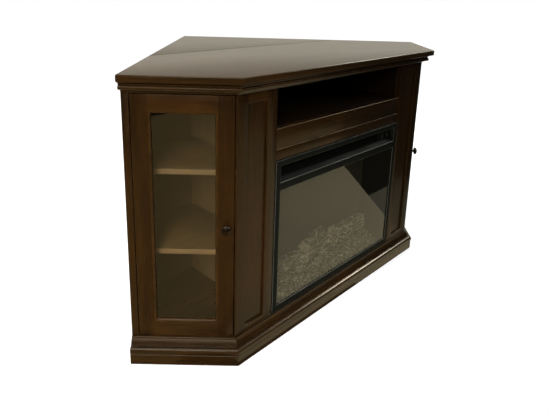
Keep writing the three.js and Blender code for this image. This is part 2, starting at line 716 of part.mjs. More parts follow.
const buildHinge = () => {
  const pitch = HINGE_LENGTH / HINGE_KNUCKLES;
  const left = -HINGE_LENGTH / 2;
  const plateHigh = HINGE_Z + HINGE_RADIUS;
  const clear = HINGE_RADIUS + 2 * HINGE_CLEARANCE;
  const parts = { top: [], leaf: [] };
  const notches = { top: [], leaf: [] };
  for (let i = 0; i < HINGE_KNUCKLES; i += 1) {
    const x0 = left + i * pitch;
    const own = i % 2 === 0 ? 'top' : 'leaf';
    const other = i % 2 === 0 ? 'leaf' : 'top';
    const knuckleX0 = x0 + HINGE_END_PLAY / 2;
    const knuckleX1 = x0 + pitch - HINGE_END_PLAY / 2;
    parts[own].push(bar(knuckleX0, knuckleX1, SEAM_Y, HINGE_Z, HINGE_RADIUS, 16));
    notches[other].push(box(
      x0 - HINGE_END_PLAY / 2, x0 + pitch + HINGE_END_PLAY / 2,
      SEAM_Y - clear, SEAM_Y + clear, HINGE_Z - clear, plateHigh + 1,
    ));
  }
  const bore = bar(left - 1, -left + 1, SEAM_Y, HINGE_Z, HINGE_PIN_RADIUS + HINGE_CLEARANCE, 16);
  const inset = HINGE_END_PLAY / 2;
  const plates = {
    top: box(left + inset, -left - inset, SEAM_Y - HINGE_WIDTH, SEAM_Y, plateHigh - HINGE_PLATE, plateHigh),
    leaf: box(left + inset, -left - inset, SEAM_Y, SEAM_Y + HINGE_WIDTH, plateHigh - HINGE_PLATE, plateHigh),
  };
  for (const side of ['top', 'leaf']) {
    const plate = cut(plates[side], ...notches[side]);
    place(`leaf_hinge_${side}_plate`, cut(join(plate, ...parts[side]), bore), zincSteel);
  }
  const pin = bar(left, -left, SEAM_Y, HINGE_Z, HINGE_PIN_RADIUS, 16);
  place('leaf_hinge_pin', pin, zincSteel);
};

// a flat bar with round ends between two points of the Y-Z plane
const stadium = (y0, z0, y1, z1, radius) => {
  const a = Math.atan2(z1 - z0, y1 - y0);
  const shape = new THREE.Shape();
  shape.absarc(y1, z1, radius, a - Math.PI / 2, a + Math.PI / 2, false);
  shape.absarc(y0, z0, radius, a + Math.PI / 2, a + (3 * Math.PI) / 2, false);
  shape.closePath();
  return shape;
};

const circleHole = (y, z, radius) => {
  const hole = new THREE.Path();
  hole.absarc(y, z, radius, 0, 2 * Math.PI, true);
  return hole;
};

const buildStay = () => {
  // the slot line lies this far below the hinge pin while the leaf is level
  const slotDrop = STAY_SLOT_DEPTH - (TOP_BOTTOM - HINGE_Z);
  const pivotY = SEAM_Y - slotDrop;
  const pivotZ = HINGE_Z - STAY_DROP;
  const tipZ = HINGE_Z - slotDrop;
  const reach = Math.sqrt(STAY_LENGTH ** 2 - (tipZ - pivotZ) ** 2);
  const tipY = pivotY + reach;
  const foldedTip = STAY_DROP + STAY_LENGTH;       // from the hinge pin, along the slot
  const radius = STAY_BAR_WIDTH / 2;

  // arm: a flange under the leaf and a slotted web below it
  const armHalf = STAY_BAR_THICKNESS / 2;
  const flangeHigh = TOP_BOTTOM - GAP;
  const armY0 = SEAM_Y + HINGE_WIDTH + 4;
  const armY1 = SEAM_Y + foldedTip + radius;
  const web = new THREE.Shape();
  web.moveTo(armY0, flangeHigh - 1);
  web.lineTo(armY0, tipZ - radius + 4);
  web.lineTo(armY0 + 4, tipZ - radius);
  web.lineTo(armY1 - 4, tipZ - radius);
  web.lineTo(armY1, tipZ - radius + 4);
  web.lineTo(armY1, flangeHigh - 1);
  web.closePath();
  const slotRadius = STAY_PIN_RADIUS + 0.4;
  const slot = stadium(tipY - slotRadius, tipZ, SEAM_Y + foldedTip, tipZ, slotRadius);
  web.holes.push(new THREE.Path(slot.getPoints(8)));
  const flange = box(
    -STAY_FLANGE_WIDTH / 2, STAY_FLANGE_WIDTH / 2, armY0, armY1,
    flangeHigh - STAY_FLANGE_THICKNESS, flangeHigh,
  );
  place('leaf_stay_arm', join(plateX(web, -armHalf, armHalf), flange), zincSteel);

  // strut: its lower end turns on the stud, its upper end lies beside the slot
  const strutX0 = armHalf + STAY_SIDE_GAP;
  const strutX1 = strutX0 + STAY_BAR_THICKNESS;
  const strut = stadium(pivotY, pivotZ, tipY, tipZ, radius);
  strut.holes.push(circleHole(pivotY, pivotZ, STAY_PIN_RADIUS + HINGE_CLEARANCE));
  place('leaf_stay_strut', plateX(strut, strutX0, strutX1), zincSteel);

  // wall plate: screwed to the back panel, with an ear and the pivot stud
  const earX0 = strutX1 + STAY_SIDE_GAP;
  const earX1 = earX0 + STAY_BAR_THICKNESS;
  const plateY0 = BACK_Y + GAP;
  const base = box(
    -STAY_PLATE_WIDTH / 2 + earX0, STAY_PLATE_WIDTH / 2 + earX0, plateY0, plateY0 + STAY_FLANGE_THICKNESS,
    pivotZ - STAY_PLATE_MARGIN, pivotZ + STAY_PLATE_MARGIN,
  );
  const ear = new THREE.Shape();
  ear.moveTo(plateY0 + 0.5, pivotZ - STAY_PLATE_MARGIN * 0.7);
  ear.lineTo(plateY0 + 0.5, pivotZ + STAY_PLATE_MARGIN * 0.7);
  ear.lineTo(pivotY, pivotZ + radius);
  ear.absarc(pivotY, pivotZ, radius, Math.PI / 2, -Math.PI / 2, true);
  ear.closePath();
  const stud = bar(strutX0 - 1, earX0 + 0.5, pivotY, pivotZ, STAY_PIN_RADIUS);
  place('leaf_stay_plate', join(base, plateX(ear, earX0, earX1), stud), zincSteel);
};

// ---------------------------------------------------------------- fireplace insert

const TRIM_HALF = BAY_HALF - INSERT_CLEARANCE;
const TRIM_INNER_HALF = TRIM_HALF - TRIM_BORDER;
const TRIM_BACK = TRIM_FACE - TRIM_PROUD;
const WINDOW_LOW = INSERT_BOTTOM + TRIM_BOTTOM_BORDER;
const VENT_HIGH = INSERT_TOP - TRIM_TOP_BORDER;
const CROSSBAR_TOP = VENT_HIGH - VENT_HEIGHT;
const CROSSBAR_BOTTOM = CROSSBAR_TOP - CROSSBAR_HEIGHT;
const FIRE_GLASS_Y = TRIM_BACK + GAP;
const SHELL_Y = FIRE_GLASS_Y + FIRE_GLASS_THICKNESS + GAP;
const SHELL_BACK = SHELL_Y + SHELL_DEPTH;
const SHELL_LOW = PLINTH_HEIGHT + GAP;
const SHELL_HALF = TRIM_INNER_HALF + FIRE_GLASS_LAP;
const SHELL_IN_HALF = SHELL_HALF - SHELL_WALL;
const CHAMBER_LOW = SHELL_LOW + SHELL_WALL;
const CHAMBER_BACK = SHELL_BACK - SHELL_WALL;
const SHELL_DECK = CROSSBAR_BOTTOM + DECK_LIFT;
const DECK_TOP = SHELL_DECK + SHELL_WALL;
const SHELL_TOP = INSERT_TOP - SHELL_TOP_CLEARANCE;
const HEATER_HIGH = SHELL_TOP - SHELL_WALL;
const SCREEN_Y = SHELL_Y + SCREEN_SETBACK;
const ROTOR_Y = SCREEN_Y + ROTOR_SETBACK;
const ROTOR_Z = CHAMBER_LOW + ROTOR_LIFT;
const BLOWER_Y = SHELL_Y + BLOWER_SETBACK;
const BLOWER_Z = DECK_TOP + BLOWER_LIFT;
const INLET_X = SHELL_HALF - INLET_INSET;
const INLET_Z = SHELL_LOW + INLET_LIFT;

const buildTrim = () => {
  const body = box(
    -TRIM_HALF, TRIM_HALF, -TRIM_PROUD, -TRIM_PROUD + TRIM_DEPTH, INSERT_BOTTOM, INSERT_TOP,
  );
  const skirt = TRIM_HALF - TRIM_SKIRT;
  const pocket = box(
    -skirt, skirt, TRIM_BACK, TRIM_DEPTH + 1, INSERT_BOTTOM - 1, INSERT_TOP - TRIM_SKIRT,
  );
  const window = (z0, z1) => box(-TRIM_INNER_HALF, TRIM_INNER_HALF, -TRIM_PROUD - 1, TRIM_DEPTH, z0, z1);
  const fireWindow = window(WINDOW_LOW, CROSSBAR_BOTTOM);
  const ventWindow = window(CROSSBAR_TOP, VENT_HIGH);
  place('insert_trim_frame', cut(body, pocket, fireWindow, ventWindow), blackSteel);

  const lap = FIRE_GLASS_LAP;
  const pane = box(
    -TRIM_INNER_HALF - lap, TRIM_INNER_HALF + lap, FIRE_GLASS_Y, FIRE_GLASS_Y + FIRE_GLASS_THICKNESS,
    WINDOW_LOW - lap, CROSSBAR_BOTTOM + lap,
  );
  place('fire_glass', pane, smokedGlass);
};

const buildShell = () => {
  const body = box(-SHELL_HALF, SHELL_HALF, SHELL_Y, SHELL_BACK, SHELL_LOW, SHELL_TOP);
  const chamber = box(
    -SHELL_IN_HALF, SHELL_IN_HALF, SHELL_Y - 1, CHAMBER_BACK, CHAMBER_LOW, SHELL_DECK,
  );
  const heaterSpace = box(
    -SHELL_IN_HALF, SHELL_IN_HALF, SHELL_Y - 1, CHAMBER_BACK, DECK_TOP, HEATER_HIGH,
  );
  const intakes = [];
  for (let i = 0; i < INTAKE_COUNT; i += 1) {
    const x = (i - (INTAKE_COUNT - 1) / 2) * INTAKE_PITCH;
    intakes.push(box(
      x - INTAKE_WIDTH / 2, x + INTAKE_WIDTH / 2, CHAMBER_BACK - 1, SHELL_BACK + 1,
      DECK_TOP + INTAKE_LIFT, DECK_TOP + INTAKE_LIFT + INTAKE_HEIGHT,
    ));
  }
  const cordHole = barY(CHAMBER_BACK - 1, SHELL_BACK + 1, INLET_X, INLET_Z, CORD_BORE_RADIUS + 1);
  const sheet = cut(body, chamber, heaterSpace, cordHole, ...intakes);

  // bearing of the flame rotor, on the left wall
  const boss = bar(
    -SHELL_IN_HALF - 0.5, -SHELL_IN_HALF + BEARING_LENGTH, ROTOR_Y, ROTOR_Z, BEARING_RADIUS,
  );
  const bearing = bar(
    -SHELL_IN_HALF + 1, -SHELL_IN_HALF + BEARING_LENGTH + 1, ROTOR_Y, ROTOR_Z,
    SHAFT_RADIUS + SHAFT_CLEARANCE,
  );
  place('firebox_shell', cut(join(sheet, boss), bearing), blackSteel);
};

const buildGrille = () => {
  const y0 = SHELL_Y + GRILLE_SETBACK;
  const y1 = y0 + GRILLE_DEPTH;
  const half = SHELL_IN_HALF - GAP;
  const low = DECK_TOP + GAP;
  const high = HEATER_HIGH - GAP;
  const border = 3;
  const frame = box(-half, half, y0, y1, low, high);
  const plateX0 = half - CONTROL_PLATE_WIDTH;
  const airway = box(-half + border, plateX0, y0 - 1, y1 + 1, low + border, high - border);
  const pocket = box(plateX0 + border, half - border, y0 + 2.5, y1 + 1, low + border, high - border);
  const slats = [];
  const pitch = (high - low - 2 * border) / (GRILLE_SLATS + 1);
  for (let i = 1; i <= GRILLE_SLATS; i += 1) {
    const z = low + border + i * pitch;
    const slat = new THREE.BoxGeometry(plateX0 + half, GRILLE_DEPTH - 3, GRILLE_SLAT_THICKNESS);
    slat.rotateX(GRILLE_SLAT_SLOPE).translate((plateX0 - half) / 2, (y0 + y1) / 2, z);
    slats.push(slat);
  }
  const lipY = TRIM_BACK + 2 * GAP;
  const lipShape = outline([
    [lipY, CROSSBAR_TOP - GRILLE_LIP_THICKNESS],
    [y0 + 1, CROSSBAR_TOP + GRILLE_LIP_RISE - GRILLE_LIP_THICKNESS],
    [y0 + 1, CROSSBAR_TOP + GRILLE_LIP_RISE],
    [lipY, CROSSBAR_TOP],
  ]);
  slats.push(plateX(lipShape, -half, half));
  slats.push(box(-half, half, y0, y0 + GRILLE_LIP_THICKNESS, low, CROSSBAR_TOP + GRILLE_LIP_RISE));
  const holes = buttonCentres(plateX0, half).map(([x, z]) => (
    barY(y0 - 1, y0 + 4, x, z, BUTTON_RADIUS + BUTTON_CLEARANCE)));
  place('heater_grille', cut(join(cut(frame, airway, pocket), ...slats), ...holes), blackSteel);
  buildButtons(buttonCentres(plateX0, half), y0);
};

const buttonCentres = (x0, x1) => {
  const x = (x0 + x1) / 2;
  const z = (CROSSBAR_TOP + VENT_HIGH) / 2;
  return [[x - BUTTON_SPACING / 2, z], [x + BUTTON_SPACING / 2, z]];
};

// push buttons: a cap through the control plate and a collar behind it that stops the cap
const buildButtons = (centres, plateY) => {
  const capFront = plateY - BUTTON_TRAVEL - 1.5;
  const collarY = plateY + 2.5 + GAP;
  const names = ['flame_button', 'heater_button'];
  centres.forEach(([x, z], i) => {
    const cap = barY(capFront, collarY + 0.5, x, z, BUTTON_RADIUS);
    const collar = barY(collarY, collarY + 2, x, z, BUTTON_RADIUS + BUTTON_FLANGE);
    const stem = barY(collarY + 1.5, collarY + 7, x, z, BUTTON_RADIUS / 2);
    place(names[i], join(cap, collar, stem), blackPlastic);
  });
};

const wheelBlades = (x0, x1, count, rIn, rOut, thickness) => {
  const blades = [];
  for (let i = 0; i < count; i += 1) {
    const blade = new THREE.BoxGeometry(x1 - x0, thickness, rOut - rIn);
    blade.rotateX(0.5).translate((x0 + x1) / 2, 0, (rIn + rOut) / 2);
    blade.rotateX((2 * Math.PI * i) / count);
    blades.push(blade);
  }
  return blades;
};

const buildBlower = () => {
  const motorX0 = -SHELL_IN_HALF + GAP;
  const motorX1 = motorX0 + BLOWER_MOTOR_LENGTH;
  const bracketLow = DECK_TOP + GAP;
  const motor = join(
    bar(motorX0, motorX1, BLOWER_Y, BLOWER_Z, BLOWER_MOTOR_RADIUS),
    box(motorX0, motorX1 - 8, BLOWER_Y - 14, BLOWER_Y + 14, bracketLow, BLOWER_Z),
  );
  const wheelX0 = motorX1 + 8;
  const wheelX1 = wheelX0 + BLOWER_LENGTH;
  const socket = bar(motorX1 - 14, motorX1 + 1, BLOWER_Y, BLOWER_Z, SHAFT_RADIUS + SHAFT_CLEARANCE);
  place('blower_motor', cut(motor, socket), motorSteel);

  const shaft = bar(motorX1 - 13, wheelX1 + 6, 0, 0, SHAFT_RADIUS);
  const discXs = [wheelX0, (wheelX0 + wheelX1) / 2, wheelX1 - 2];
  const discs = discXs.map((x) => bar(x, x + 2, 0, 0, BLOWER_RADIUS));
  const rOut = BLOWER_RADIUS - 0.5;
  const rIn = BLOWER_RADIUS - BLOWER_BLADE_DEPTH;
  const blades = wheelBlades(wheelX0 + 1, wheelX1 - 1, BLOWER_BLADES, rIn, rOut, 1);
  const wheel = join(shaft, ...discs, ...blades).translate(0, BLOWER_Y, BLOWER_Z);
  place('blower_wheel', wheel, brightTin);
};

const buildFlameDrive = () => {
  const motorX1 = SHELL_IN_HALF - GAP;
  const motorX0 = motorX1 - ROTOR_MOTOR_LENGTH;
  const motor = bar(motorX0, motorX1, ROTOR_Y, ROTOR_Z, ROTOR_MOTOR_RADIUS);
  const bracket = box(
    motorX0 + 6, motorX1, ROTOR_Y - 12, ROTOR_Y + 12, CHAMBER_LOW + GAP, ROTOR_Z,
  );
  const socket = bar(motorX0 - 1, motorX0 + 12, ROTOR_Y, ROTOR_Z, SHAFT_RADIUS + SHAFT_CLEARANCE);
  place('rotor_motor', cut(join(motor, bracket), socket), motorSteel);

  const shaftX0 = -SHELL_IN_HALF + 2;
  const shaft = bar(shaftX0, motorX0 + 11, 0, 0, SHAFT_RADIUS);
  const flagX0 = -SHELL_IN_HALF + BEARING_LENGTH + ROTOR_END_SPACE;
  const flagPitch = (motorX0 - ROTOR_END_SPACE - flagX0) / ROTOR_FLAGS;
  const flags = [];
  for (let i = 0; i < ROTOR_FLAGS; i += 1) {
    const x = flagX0 + flagPitch * (i + 0.5);
    const flag = new THREE.BoxGeometry(flagPitch - ROTOR_FLAG_GAP, 1, ROTOR_FLAG_RADIUS * 2);
    flag.rotateZ(0.25).translate(x, 0, 0).rotateX(i * 0.8);
    flags.push(flag);
  }
  place('flame_rotor', join(shaft, ...flags).translate(0, ROTOR_Y, ROTOR_Z), brightTin);

  const screenHalf = SHELL_IN_HALF - GAP;
  const screen = box(
    -screenHalf, screenHalf, SCREEN_Y - SCREEN_THICKNESS / 2, SCREEN_Y + SCREEN_THICKNESS / 2,
    CHAMBER_LOW + GAP, SHELL_DECK - GAP,
  );
  place('flame_screen', screen, screenPlastic);
};

// resin ember bed: a block whose top rises to the rear and is lumpy
const bedHeight = (x, depthShare) => {
  const rise = Math.max(0, depthShare) ** 0.8;
  const slope = BED_FRONT_HEIGHT + (BED_REAR_HEIGHT - BED_FRONT_HEIGHT) * rise;
  const lumps = 3 * Math.sin(x * 0.11 + 4 * depthShare) + 2.4 * Math.sin(x * 0.053 + 9 * depthShare);
  return slope + lumps;
};

const BED_HALF = SHELL_IN_HALF - BED_SIDE_CLEARANCE;

const emberBlock = () => {
  const half = BED_HALF;
  const y0 = SHELL_Y + BED_CLEARANCE;
  const y1 = SCREEN_Y - SCREEN_THICKNESS / 2 - BED_CLEARANCE / 2;
  const low = CHAMBER_LOW + GAP;
  const g = new THREE.BoxGeometry(2 * half, y1 - y0, 2, 36, 7, 1);
  g.translate(0, (y0 + y1) / 2, low + 1);
  const p = g.attributes.position;
  for (let i = 0; i < p.count; i += 1) {
    if (p.getZ(i) > low + 1) {
      p.setZ(i, low + bedHeight(p.getX(i), (p.getY(i) - y0) / (y1 - y0)));
    }
  }
  return g;
};

// a resin log: a knobbly bar between two points, with blunt ends; grow adds to its radius
const logSolid = ({ from, to, radius, seed }, grow) => {
  const a = new THREE.Vector3(...from);
  const b = new THREE.Vector3(...to);
  const length = a.distanceTo(b);
  const g = new THREE.CylinderGeometry(radius, radius, length + 2 * grow, 14, 8);
  const p = g.attributes.position;
  for (let i = 0; i < p.count; i += 1) {
    const [x, y, z] = [p.getX(i), p.getY(i), p.getZ(i)];
    const angle = Math.atan2(z, x);
    const centre = Math.hypot(x, z) < radius / 2;
    const along = y / LOG_KNOB_PITCH + 2 * angle + seed;
    const knobs = 1 + 0.09 * Math.sin(3 * angle + seed) + 0.07 * Math.sin(along);
    const r = centre ? 0 : radius * knobs + grow;
    p.setXYZ(i, r * Math.cos(angle), y, r * Math.sin(angle));
  }
  const turn = new THREE.Quaternion().setFromUnitVectors(
    new THREE.Vector3(0, 1, 0), b.clone().sub(a).normalize(),
  );
  g.applyQuaternion(turn);
  return g.translate((a.x + b.x) / 2, (a.y + b.y) / 2, (a.z + b.z) / 2);
};

const buildFireBed = () => {
  const low = CHAMBER_LOW + BED_REAR_HEIGHT;
  const y = SCREEN_Y - REAR_LOG_FORWARD;
  const rearZ = low + REAR_LOG_RISE;
  const leftX = -BED_HALF + LEFT_LOG_START;
  const rightX = BED_HALF - RIGHT_LOG_END;
  const logs = [
    ['rear_log', {
      from: [-BED_HALF + REAR_LOG_START, y, rearZ],
      to: [BED_HALF - REAR_LOG_END, y, rearZ],
      radius: REAR_LOG_RADIUS,
      seed: 0.4,
    }],
    ['left_log', {
      from: [leftX, y - LEFT_LOG_FORWARD, low + LEFT_LOG_LOW],
      to: [leftX + LEFT_LOG_SPAN, y + LEFT_LOG_BACK, low + LEFT_LOG_HIGH],
      radius: TOP_LOG_RADIUS,
      seed: 2.1,
    }],
    ['right_log', {
      from: [rightX - RIGHT_LOG_SPAN, y - RIGHT_LOG_FORWARD, low + RIGHT_LOG_HIGH],
      to: [rightX, y + RIGHT_LOG_BACK, low + RIGHT_LOG_LOW],
      radius: TOP_LOG_RADIUS,
      seed: 3.6,
    }],
  ];
  let bed = toSolid(emberBlock());
  const placed = [];
  for (const [name, log] of logs) {
    let solid = toSolid(logSolid(log, 0));
    for (const other of placed) {
      solid = solid.subtract(toSolid(logSolid(other, GAP)));
    }
    bed = bed.subtract(toSolid(logSolid(log, GAP)));
    placed.push(log);
    place(name, toGeometry(solid), logResin);
  }
  place('ember_bed', toGeometry(bed), emberResin);
};

// cord inlet: a flanged strain relief on the rear wall
const buildInlet = () => {
  const profile = [
    [CORD_BORE_RADIUS, 0], [INLET_RADIUS + 3, 0], [INLET_RADIUS + 3, 2.5], [INLET_RADIUS - 1, 2.5],
    [CORD_BORE_RADIUS + 2, INLET_LENGTH], [CORD_BORE_RADIUS, INLET_LENGTH], [CORD_BORE_RADIUS, 0],
  ].map(([r, h]) => new THREE.Vector2(r, h));
  const gland = bare(new THREE.LatheGeometry(profile, 24));
  gland.translate(INLET_X, SHELL_BACK + GAP, INLET_Z);
  place('power_inlet', gland, blackPlastic);
};

// ---------------------------------------------------------------- assembly

buildTop();
buildMouldings();
buildCarcass();
buildPilasters();
buildFascia();
buildShelves();
buildDoors();
buildHinge();
buildStay();
buildTrim();
buildShell();
buildGrille();
buildBlower();
buildFlameDrive();
buildFireBed();
buildInlet();

export default fireplace;
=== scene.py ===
"""Dresses the corner fireplace console: stained cabinet, glazed doors and electric firebox.

Sizes in the code are millimetres, measured from the middle of the cabinet's front face at floor
level; mm() turns them into metres in the frame of the model.
"""

import json
import math

import bmesh
import bpy
from mathutils import Matrix, Vector

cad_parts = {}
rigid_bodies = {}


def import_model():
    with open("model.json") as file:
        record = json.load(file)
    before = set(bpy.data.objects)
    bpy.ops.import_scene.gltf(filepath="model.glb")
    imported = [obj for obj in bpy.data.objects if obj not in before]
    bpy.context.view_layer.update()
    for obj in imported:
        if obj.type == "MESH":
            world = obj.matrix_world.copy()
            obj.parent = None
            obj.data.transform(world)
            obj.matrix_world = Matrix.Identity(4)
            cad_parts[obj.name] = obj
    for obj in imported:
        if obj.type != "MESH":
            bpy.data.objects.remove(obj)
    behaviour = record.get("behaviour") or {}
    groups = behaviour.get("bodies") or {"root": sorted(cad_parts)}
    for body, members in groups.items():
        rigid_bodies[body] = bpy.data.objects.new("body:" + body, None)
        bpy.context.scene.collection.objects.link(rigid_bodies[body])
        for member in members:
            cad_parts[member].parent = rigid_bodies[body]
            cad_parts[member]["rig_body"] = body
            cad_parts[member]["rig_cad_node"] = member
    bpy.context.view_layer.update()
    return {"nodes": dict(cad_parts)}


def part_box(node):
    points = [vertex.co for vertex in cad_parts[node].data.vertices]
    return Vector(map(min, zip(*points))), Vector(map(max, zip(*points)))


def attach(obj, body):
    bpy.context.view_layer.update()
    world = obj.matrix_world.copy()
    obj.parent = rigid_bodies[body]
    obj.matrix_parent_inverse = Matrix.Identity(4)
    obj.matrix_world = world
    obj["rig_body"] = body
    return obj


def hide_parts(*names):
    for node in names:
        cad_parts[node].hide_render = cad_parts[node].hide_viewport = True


bl_info = {
    "name": "Corner fireplace console",
    "version": (1, 0, 0),
    "blender": (4, 5, 0),
    "location": "3D View > Sidebar > Console",
    "description": "Models and finishes the pieces of a corner fireplace console",
    "category": "Add Mesh",
}

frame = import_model()
NODES = frame["nodes"]

FRONT_DEPTH = 418.56     # front face of the cabinet, ahead of the model's origin
FRONT_HALF = 465.0       # half the front face
SIDE_WIDTH = 290.0       # a side face, from the front corner to the wall
TURN = math.pi / 4       # how far a side face turns back
SLANT = 0.70711          # sine and cosine of that turn
GAP = 0.3                # play between two pieces that meet
SEAT = GAP / 2
PLINTH_TOP = 72
CARCASS_TOP = 770
TOP_CORNER = (696.93, 178.19)       # where a side edge of the top meets the wall edge
PILASTER = (-475, -322)             # the left one, before its outer edge is sawn slanting
PILASTER_RETURN = 3.18              # how far its slanting edge runs back
PILASTER_WINDOW = (-429, -358, 92, 742)
BOARD_HALF = 321.5                  # half the boards between the pilasters
BOARD_FRONT, BOARD_BACK = 2, 20
FASCIA_LOW, FASCIA_HIGH = 596.6, 655
HEADER_LOW, HEADER_HIGH = 562, 595
DOOR = (-268.5, -7, 75, 767)        # hinge side, free side, bottom and top, in the side's space
DOOR_THICKNESS = 19
DOOR_STILE = 42
DOOR_REBATE = 1.4                   # how deep the bead lies in the door's front
KNOB_PLACE = (-27, -0.3, 410)
MEDIA_SHELF = ((-321.7, 20.3, 639), (321.7, 370.7, 655))
TRIM = (321, 75, 561)               # half width, bottom and top of the firebox trim
TRIM_FRONT, TRIM_BACK, TRIM_END = -2, 1, 16
TRIM_SKIRT = 2
FIRE_WINDOW = (-302, 302, 97, 470)
VENT_WINDOW = (-302, 302, 494, 545)
PHOTO_SIZE = (550, 412)
SENSOR_WIDTH = 36
SIDE_SPACE = (
    Matrix.Translation((-FRONT_HALF / 1000, -FRONT_DEPTH / 1000, 0))
    @ Matrix.Rotation(-TURN, 4, "Z")
)


def mm(x, y, z):
    """A point in the cabinet's millimetres as metres in the model's frame."""
    return Vector((x, y - FRONT_DEPTH, z)) / 1000


# ---------------------------------------------------------------- modelling by hand
def clear():
    """Leaves edit mode with nothing selected."""
    if bpy.context.mode != "OBJECT":
        bpy.ops.object.mode_set(mode="OBJECT")
    bpy.ops.object.select_all(action="DESELECT")


def begin(name, primitive, **options):
    """Adds a primitive and names it."""
    clear()
    primitive(**options)
    piece = bpy.context.object
    piece.name = name
    piece.data.name = name
    return piece


def edit(piece, everything=True):
    """Opens a piece in edit mode, with all of it selected or none."""
    clear()
    bpy.context.view_layer.objects.active = piece
    piece.select_set(True)
    bpy.ops.object.mode_set(mode="EDIT")
    bpy.ops.mesh.select_mode(type="VERT")
    bpy.ops.mesh.select_all(action="SELECT" if everything else "DESELECT")


def pick(kind, test):
    """Selects the open piece's faces, by middle and normal, or edges, by their two ends."""
    bpy.ops.mesh.select_all(action="DESELECT")
    bpy.ops.mesh.select_mode(type=kind)
    mesh = bmesh.from_edit_mesh(bpy.context.edit_object.data)
    if kind == "FACE":
        chosen = [f for f in mesh.faces if test(f.calc_center_median() * 1000, f.normal)]
    else:
        chosen = [e for e in mesh.edges if test(e.verts[0].co * 1000, e.verts[1].co * 1000)]
    for part in chosen:
        part.select_set(True)
    mesh.select_flush_mode()
    bmesh.update_edit_mesh(bpy.context.edit_object.data)


def pull(move):
    """Extrudes what is selected by a vector in metres."""
    bpy.ops.mesh.extrude_region_move(TRANSFORM_OT_translate={"value": move})


def select_only(piece):
    clear()
    piece.select_set(True)
    bpy.context.view_layer.objects.active = piece


def settle(piece, matrix=None):
    """Gives the piece's place, turn and size to its mesh."""
    if matrix is not None:
        piece.matrix_world = matrix @ piece.matrix_world
    select_only(piece)
    bpy.ops.object.transform_apply(location=True, rotation=True, scale=True)
    return piece


def modify(piece, kind, **settings):
    """Adds one modifier and applies it."""
    select_only(piece)
    modifier = piece.modifiers.new(kind.title(), kind)
    for key, value in settings.items():
        setattr(modifier, key, value)
    bpy.ops.object.modifier_apply(modifier=modifier.name)
    return piece


def soften(piece, width, segments=2, angle=40):
    """Eases the arrises and shades the faces between them smooth."""
    modify(
        piece, "BEVEL", width=width / 1000, segments=segments,
        limit_method="ANGLE", angle_limit=math.radians(30), harden_normals=False,
    )
    return smooth(piece, angle)


def smooth(piece, angle=40):
    select_only(piece)
    bpy.ops.object.shade_smooth_by_angle(angle=math.radians(angle))
    return piece


def tidy_normals(piece):
    edit(piece)
    bpy.ops.mesh.remove_doubles(threshold=1e-6)
    bpy.ops.mesh.normals_make_consistent(inside=False)
    clear()
    return piece


def block(name, low, high, space=None):
    """A board between two corners in millimetres, of the cabinet or of a side face's space."""
    low, high = Vector(low), Vector(high)
    if space is None:
        low, high = mm(*low), mm(*high)
    else:
        low, high = low / 1000, high / 1000
    piece = begin(
        name, bpy.ops.mesh.primitive_cube_add, size=1,
        location=(low + high) / 2, scale=high - low,
    )
    return settle(piece)


def slice_off(piece, point, normal):
    """Saws the piece along a plane and drops what lies on the normal's side."""
    edit(piece)
    bpy.ops.mesh.bisect(plane_co=point, plane_no=normal, use_fill=True, clear_outer=True)
    clear()
    return piece


def mark(x0, x1, z0, z1):
    """Draws a rectangle's four lines round the open piece."""
    low, high = Vector((x0, 0, z0)) / 1000, Vector((x1, 0, z1)) / 1000
    for point, normal in ((low, (1, 0, 0)), (high, (1, 0, 0)), (low, (0, 0, 1)), (high, (0, 0, 1))):
        bpy.ops.mesh.select_all(action="SELECT")
        bpy.ops.mesh.bisect(plane_co=point, plane_no=normal)


def inside(x0, x1, z0, z1, front_only=False):
    """Passes faces within a rectangle that look along y, to the front or both ways."""
    def test(centre, normal):
        looks = -normal.y > 0.9 if front_only else abs(normal.y) > 0.9
        return looks and x0 < centre.x < x1 and z0 < centre.z < z1
    return test


def sink(piece, x0, x1, z0, z1, depth):
    """Presses a rectangle of the front into the board."""
    edit(piece)
    mark(x0, x1, z0, z1)
    pick("FACE", inside(x0, x1, z0, z1, front_only=True))
    pull((0, depth / 1000, 0))
    clear()
    return piece


def pierce(piece, x0, x1, z0, z1):
    """Cuts a window through the board."""
    edit(piece)
    mark(x0, x1, z0, z1)
    pick("FACE", inside(x0, x1, z0, z1))
    bpy.ops.mesh.bridge_edge_loops()
    clear()
    return piece


def trace(points):
    """Draws the open piece's line on from point to point, then selects all of it."""
    for here, there in zip(points, points[1:]):
        pull(there - here)
    bpy.ops.mesh.select_all(action="SELECT")


def draw(name, points, run, space=None):
    """Draws a closed outline point by point, fills it and pulls it along run."""
    place = (lambda p: mm(*p)) if space is None else (lambda p: Vector(p) / 1000)
    points = [place(p) for p in points]
    piece = begin(
        name, bpy.ops.mesh.primitive_plane_add, size=0.001, location=points[0])
    edit(piece)
    bpy.ops.mesh.merge(type="CENTER")
    trace(points)
    bpy.ops.mesh.edge_face_add()
    pull(Vector(run) / 1000)
    bpy.ops.mesh.select_all(action="SELECT")
    bpy.ops.mesh.normals_make_consistent(inside=False)
    return settle(piece)


def turn_on_lathe(name, profile, centre, axis, steps=40):
    """Spins a profile of (radius, height) pairs in millimetres round an axis through centre."""
    piece = begin(name, bpy.ops.mesh.primitive_plane_add, size=0.001, location=(0, 0, 0))
    points = [Vector((r, 0, h)) / 1000 for r, h in profile]
    edit(piece)
    bpy.ops.mesh.merge(type="CENTER")
    bpy.ops.transform.translate(value=points[0])
    trace(points)
    bpy.ops.mesh.spin(steps=steps, angle=2 * math.pi, center=(0, 0, 0), axis=(0, 0, 1))
    clear()
    turn = Vector((0, 0, 1)).rotation_difference(Vector(axis)).to_matrix().to_4x4()
    settle(piece, Matrix.Translation(centre) @ turn)
    return smooth(tidy_normals(piece), 50)


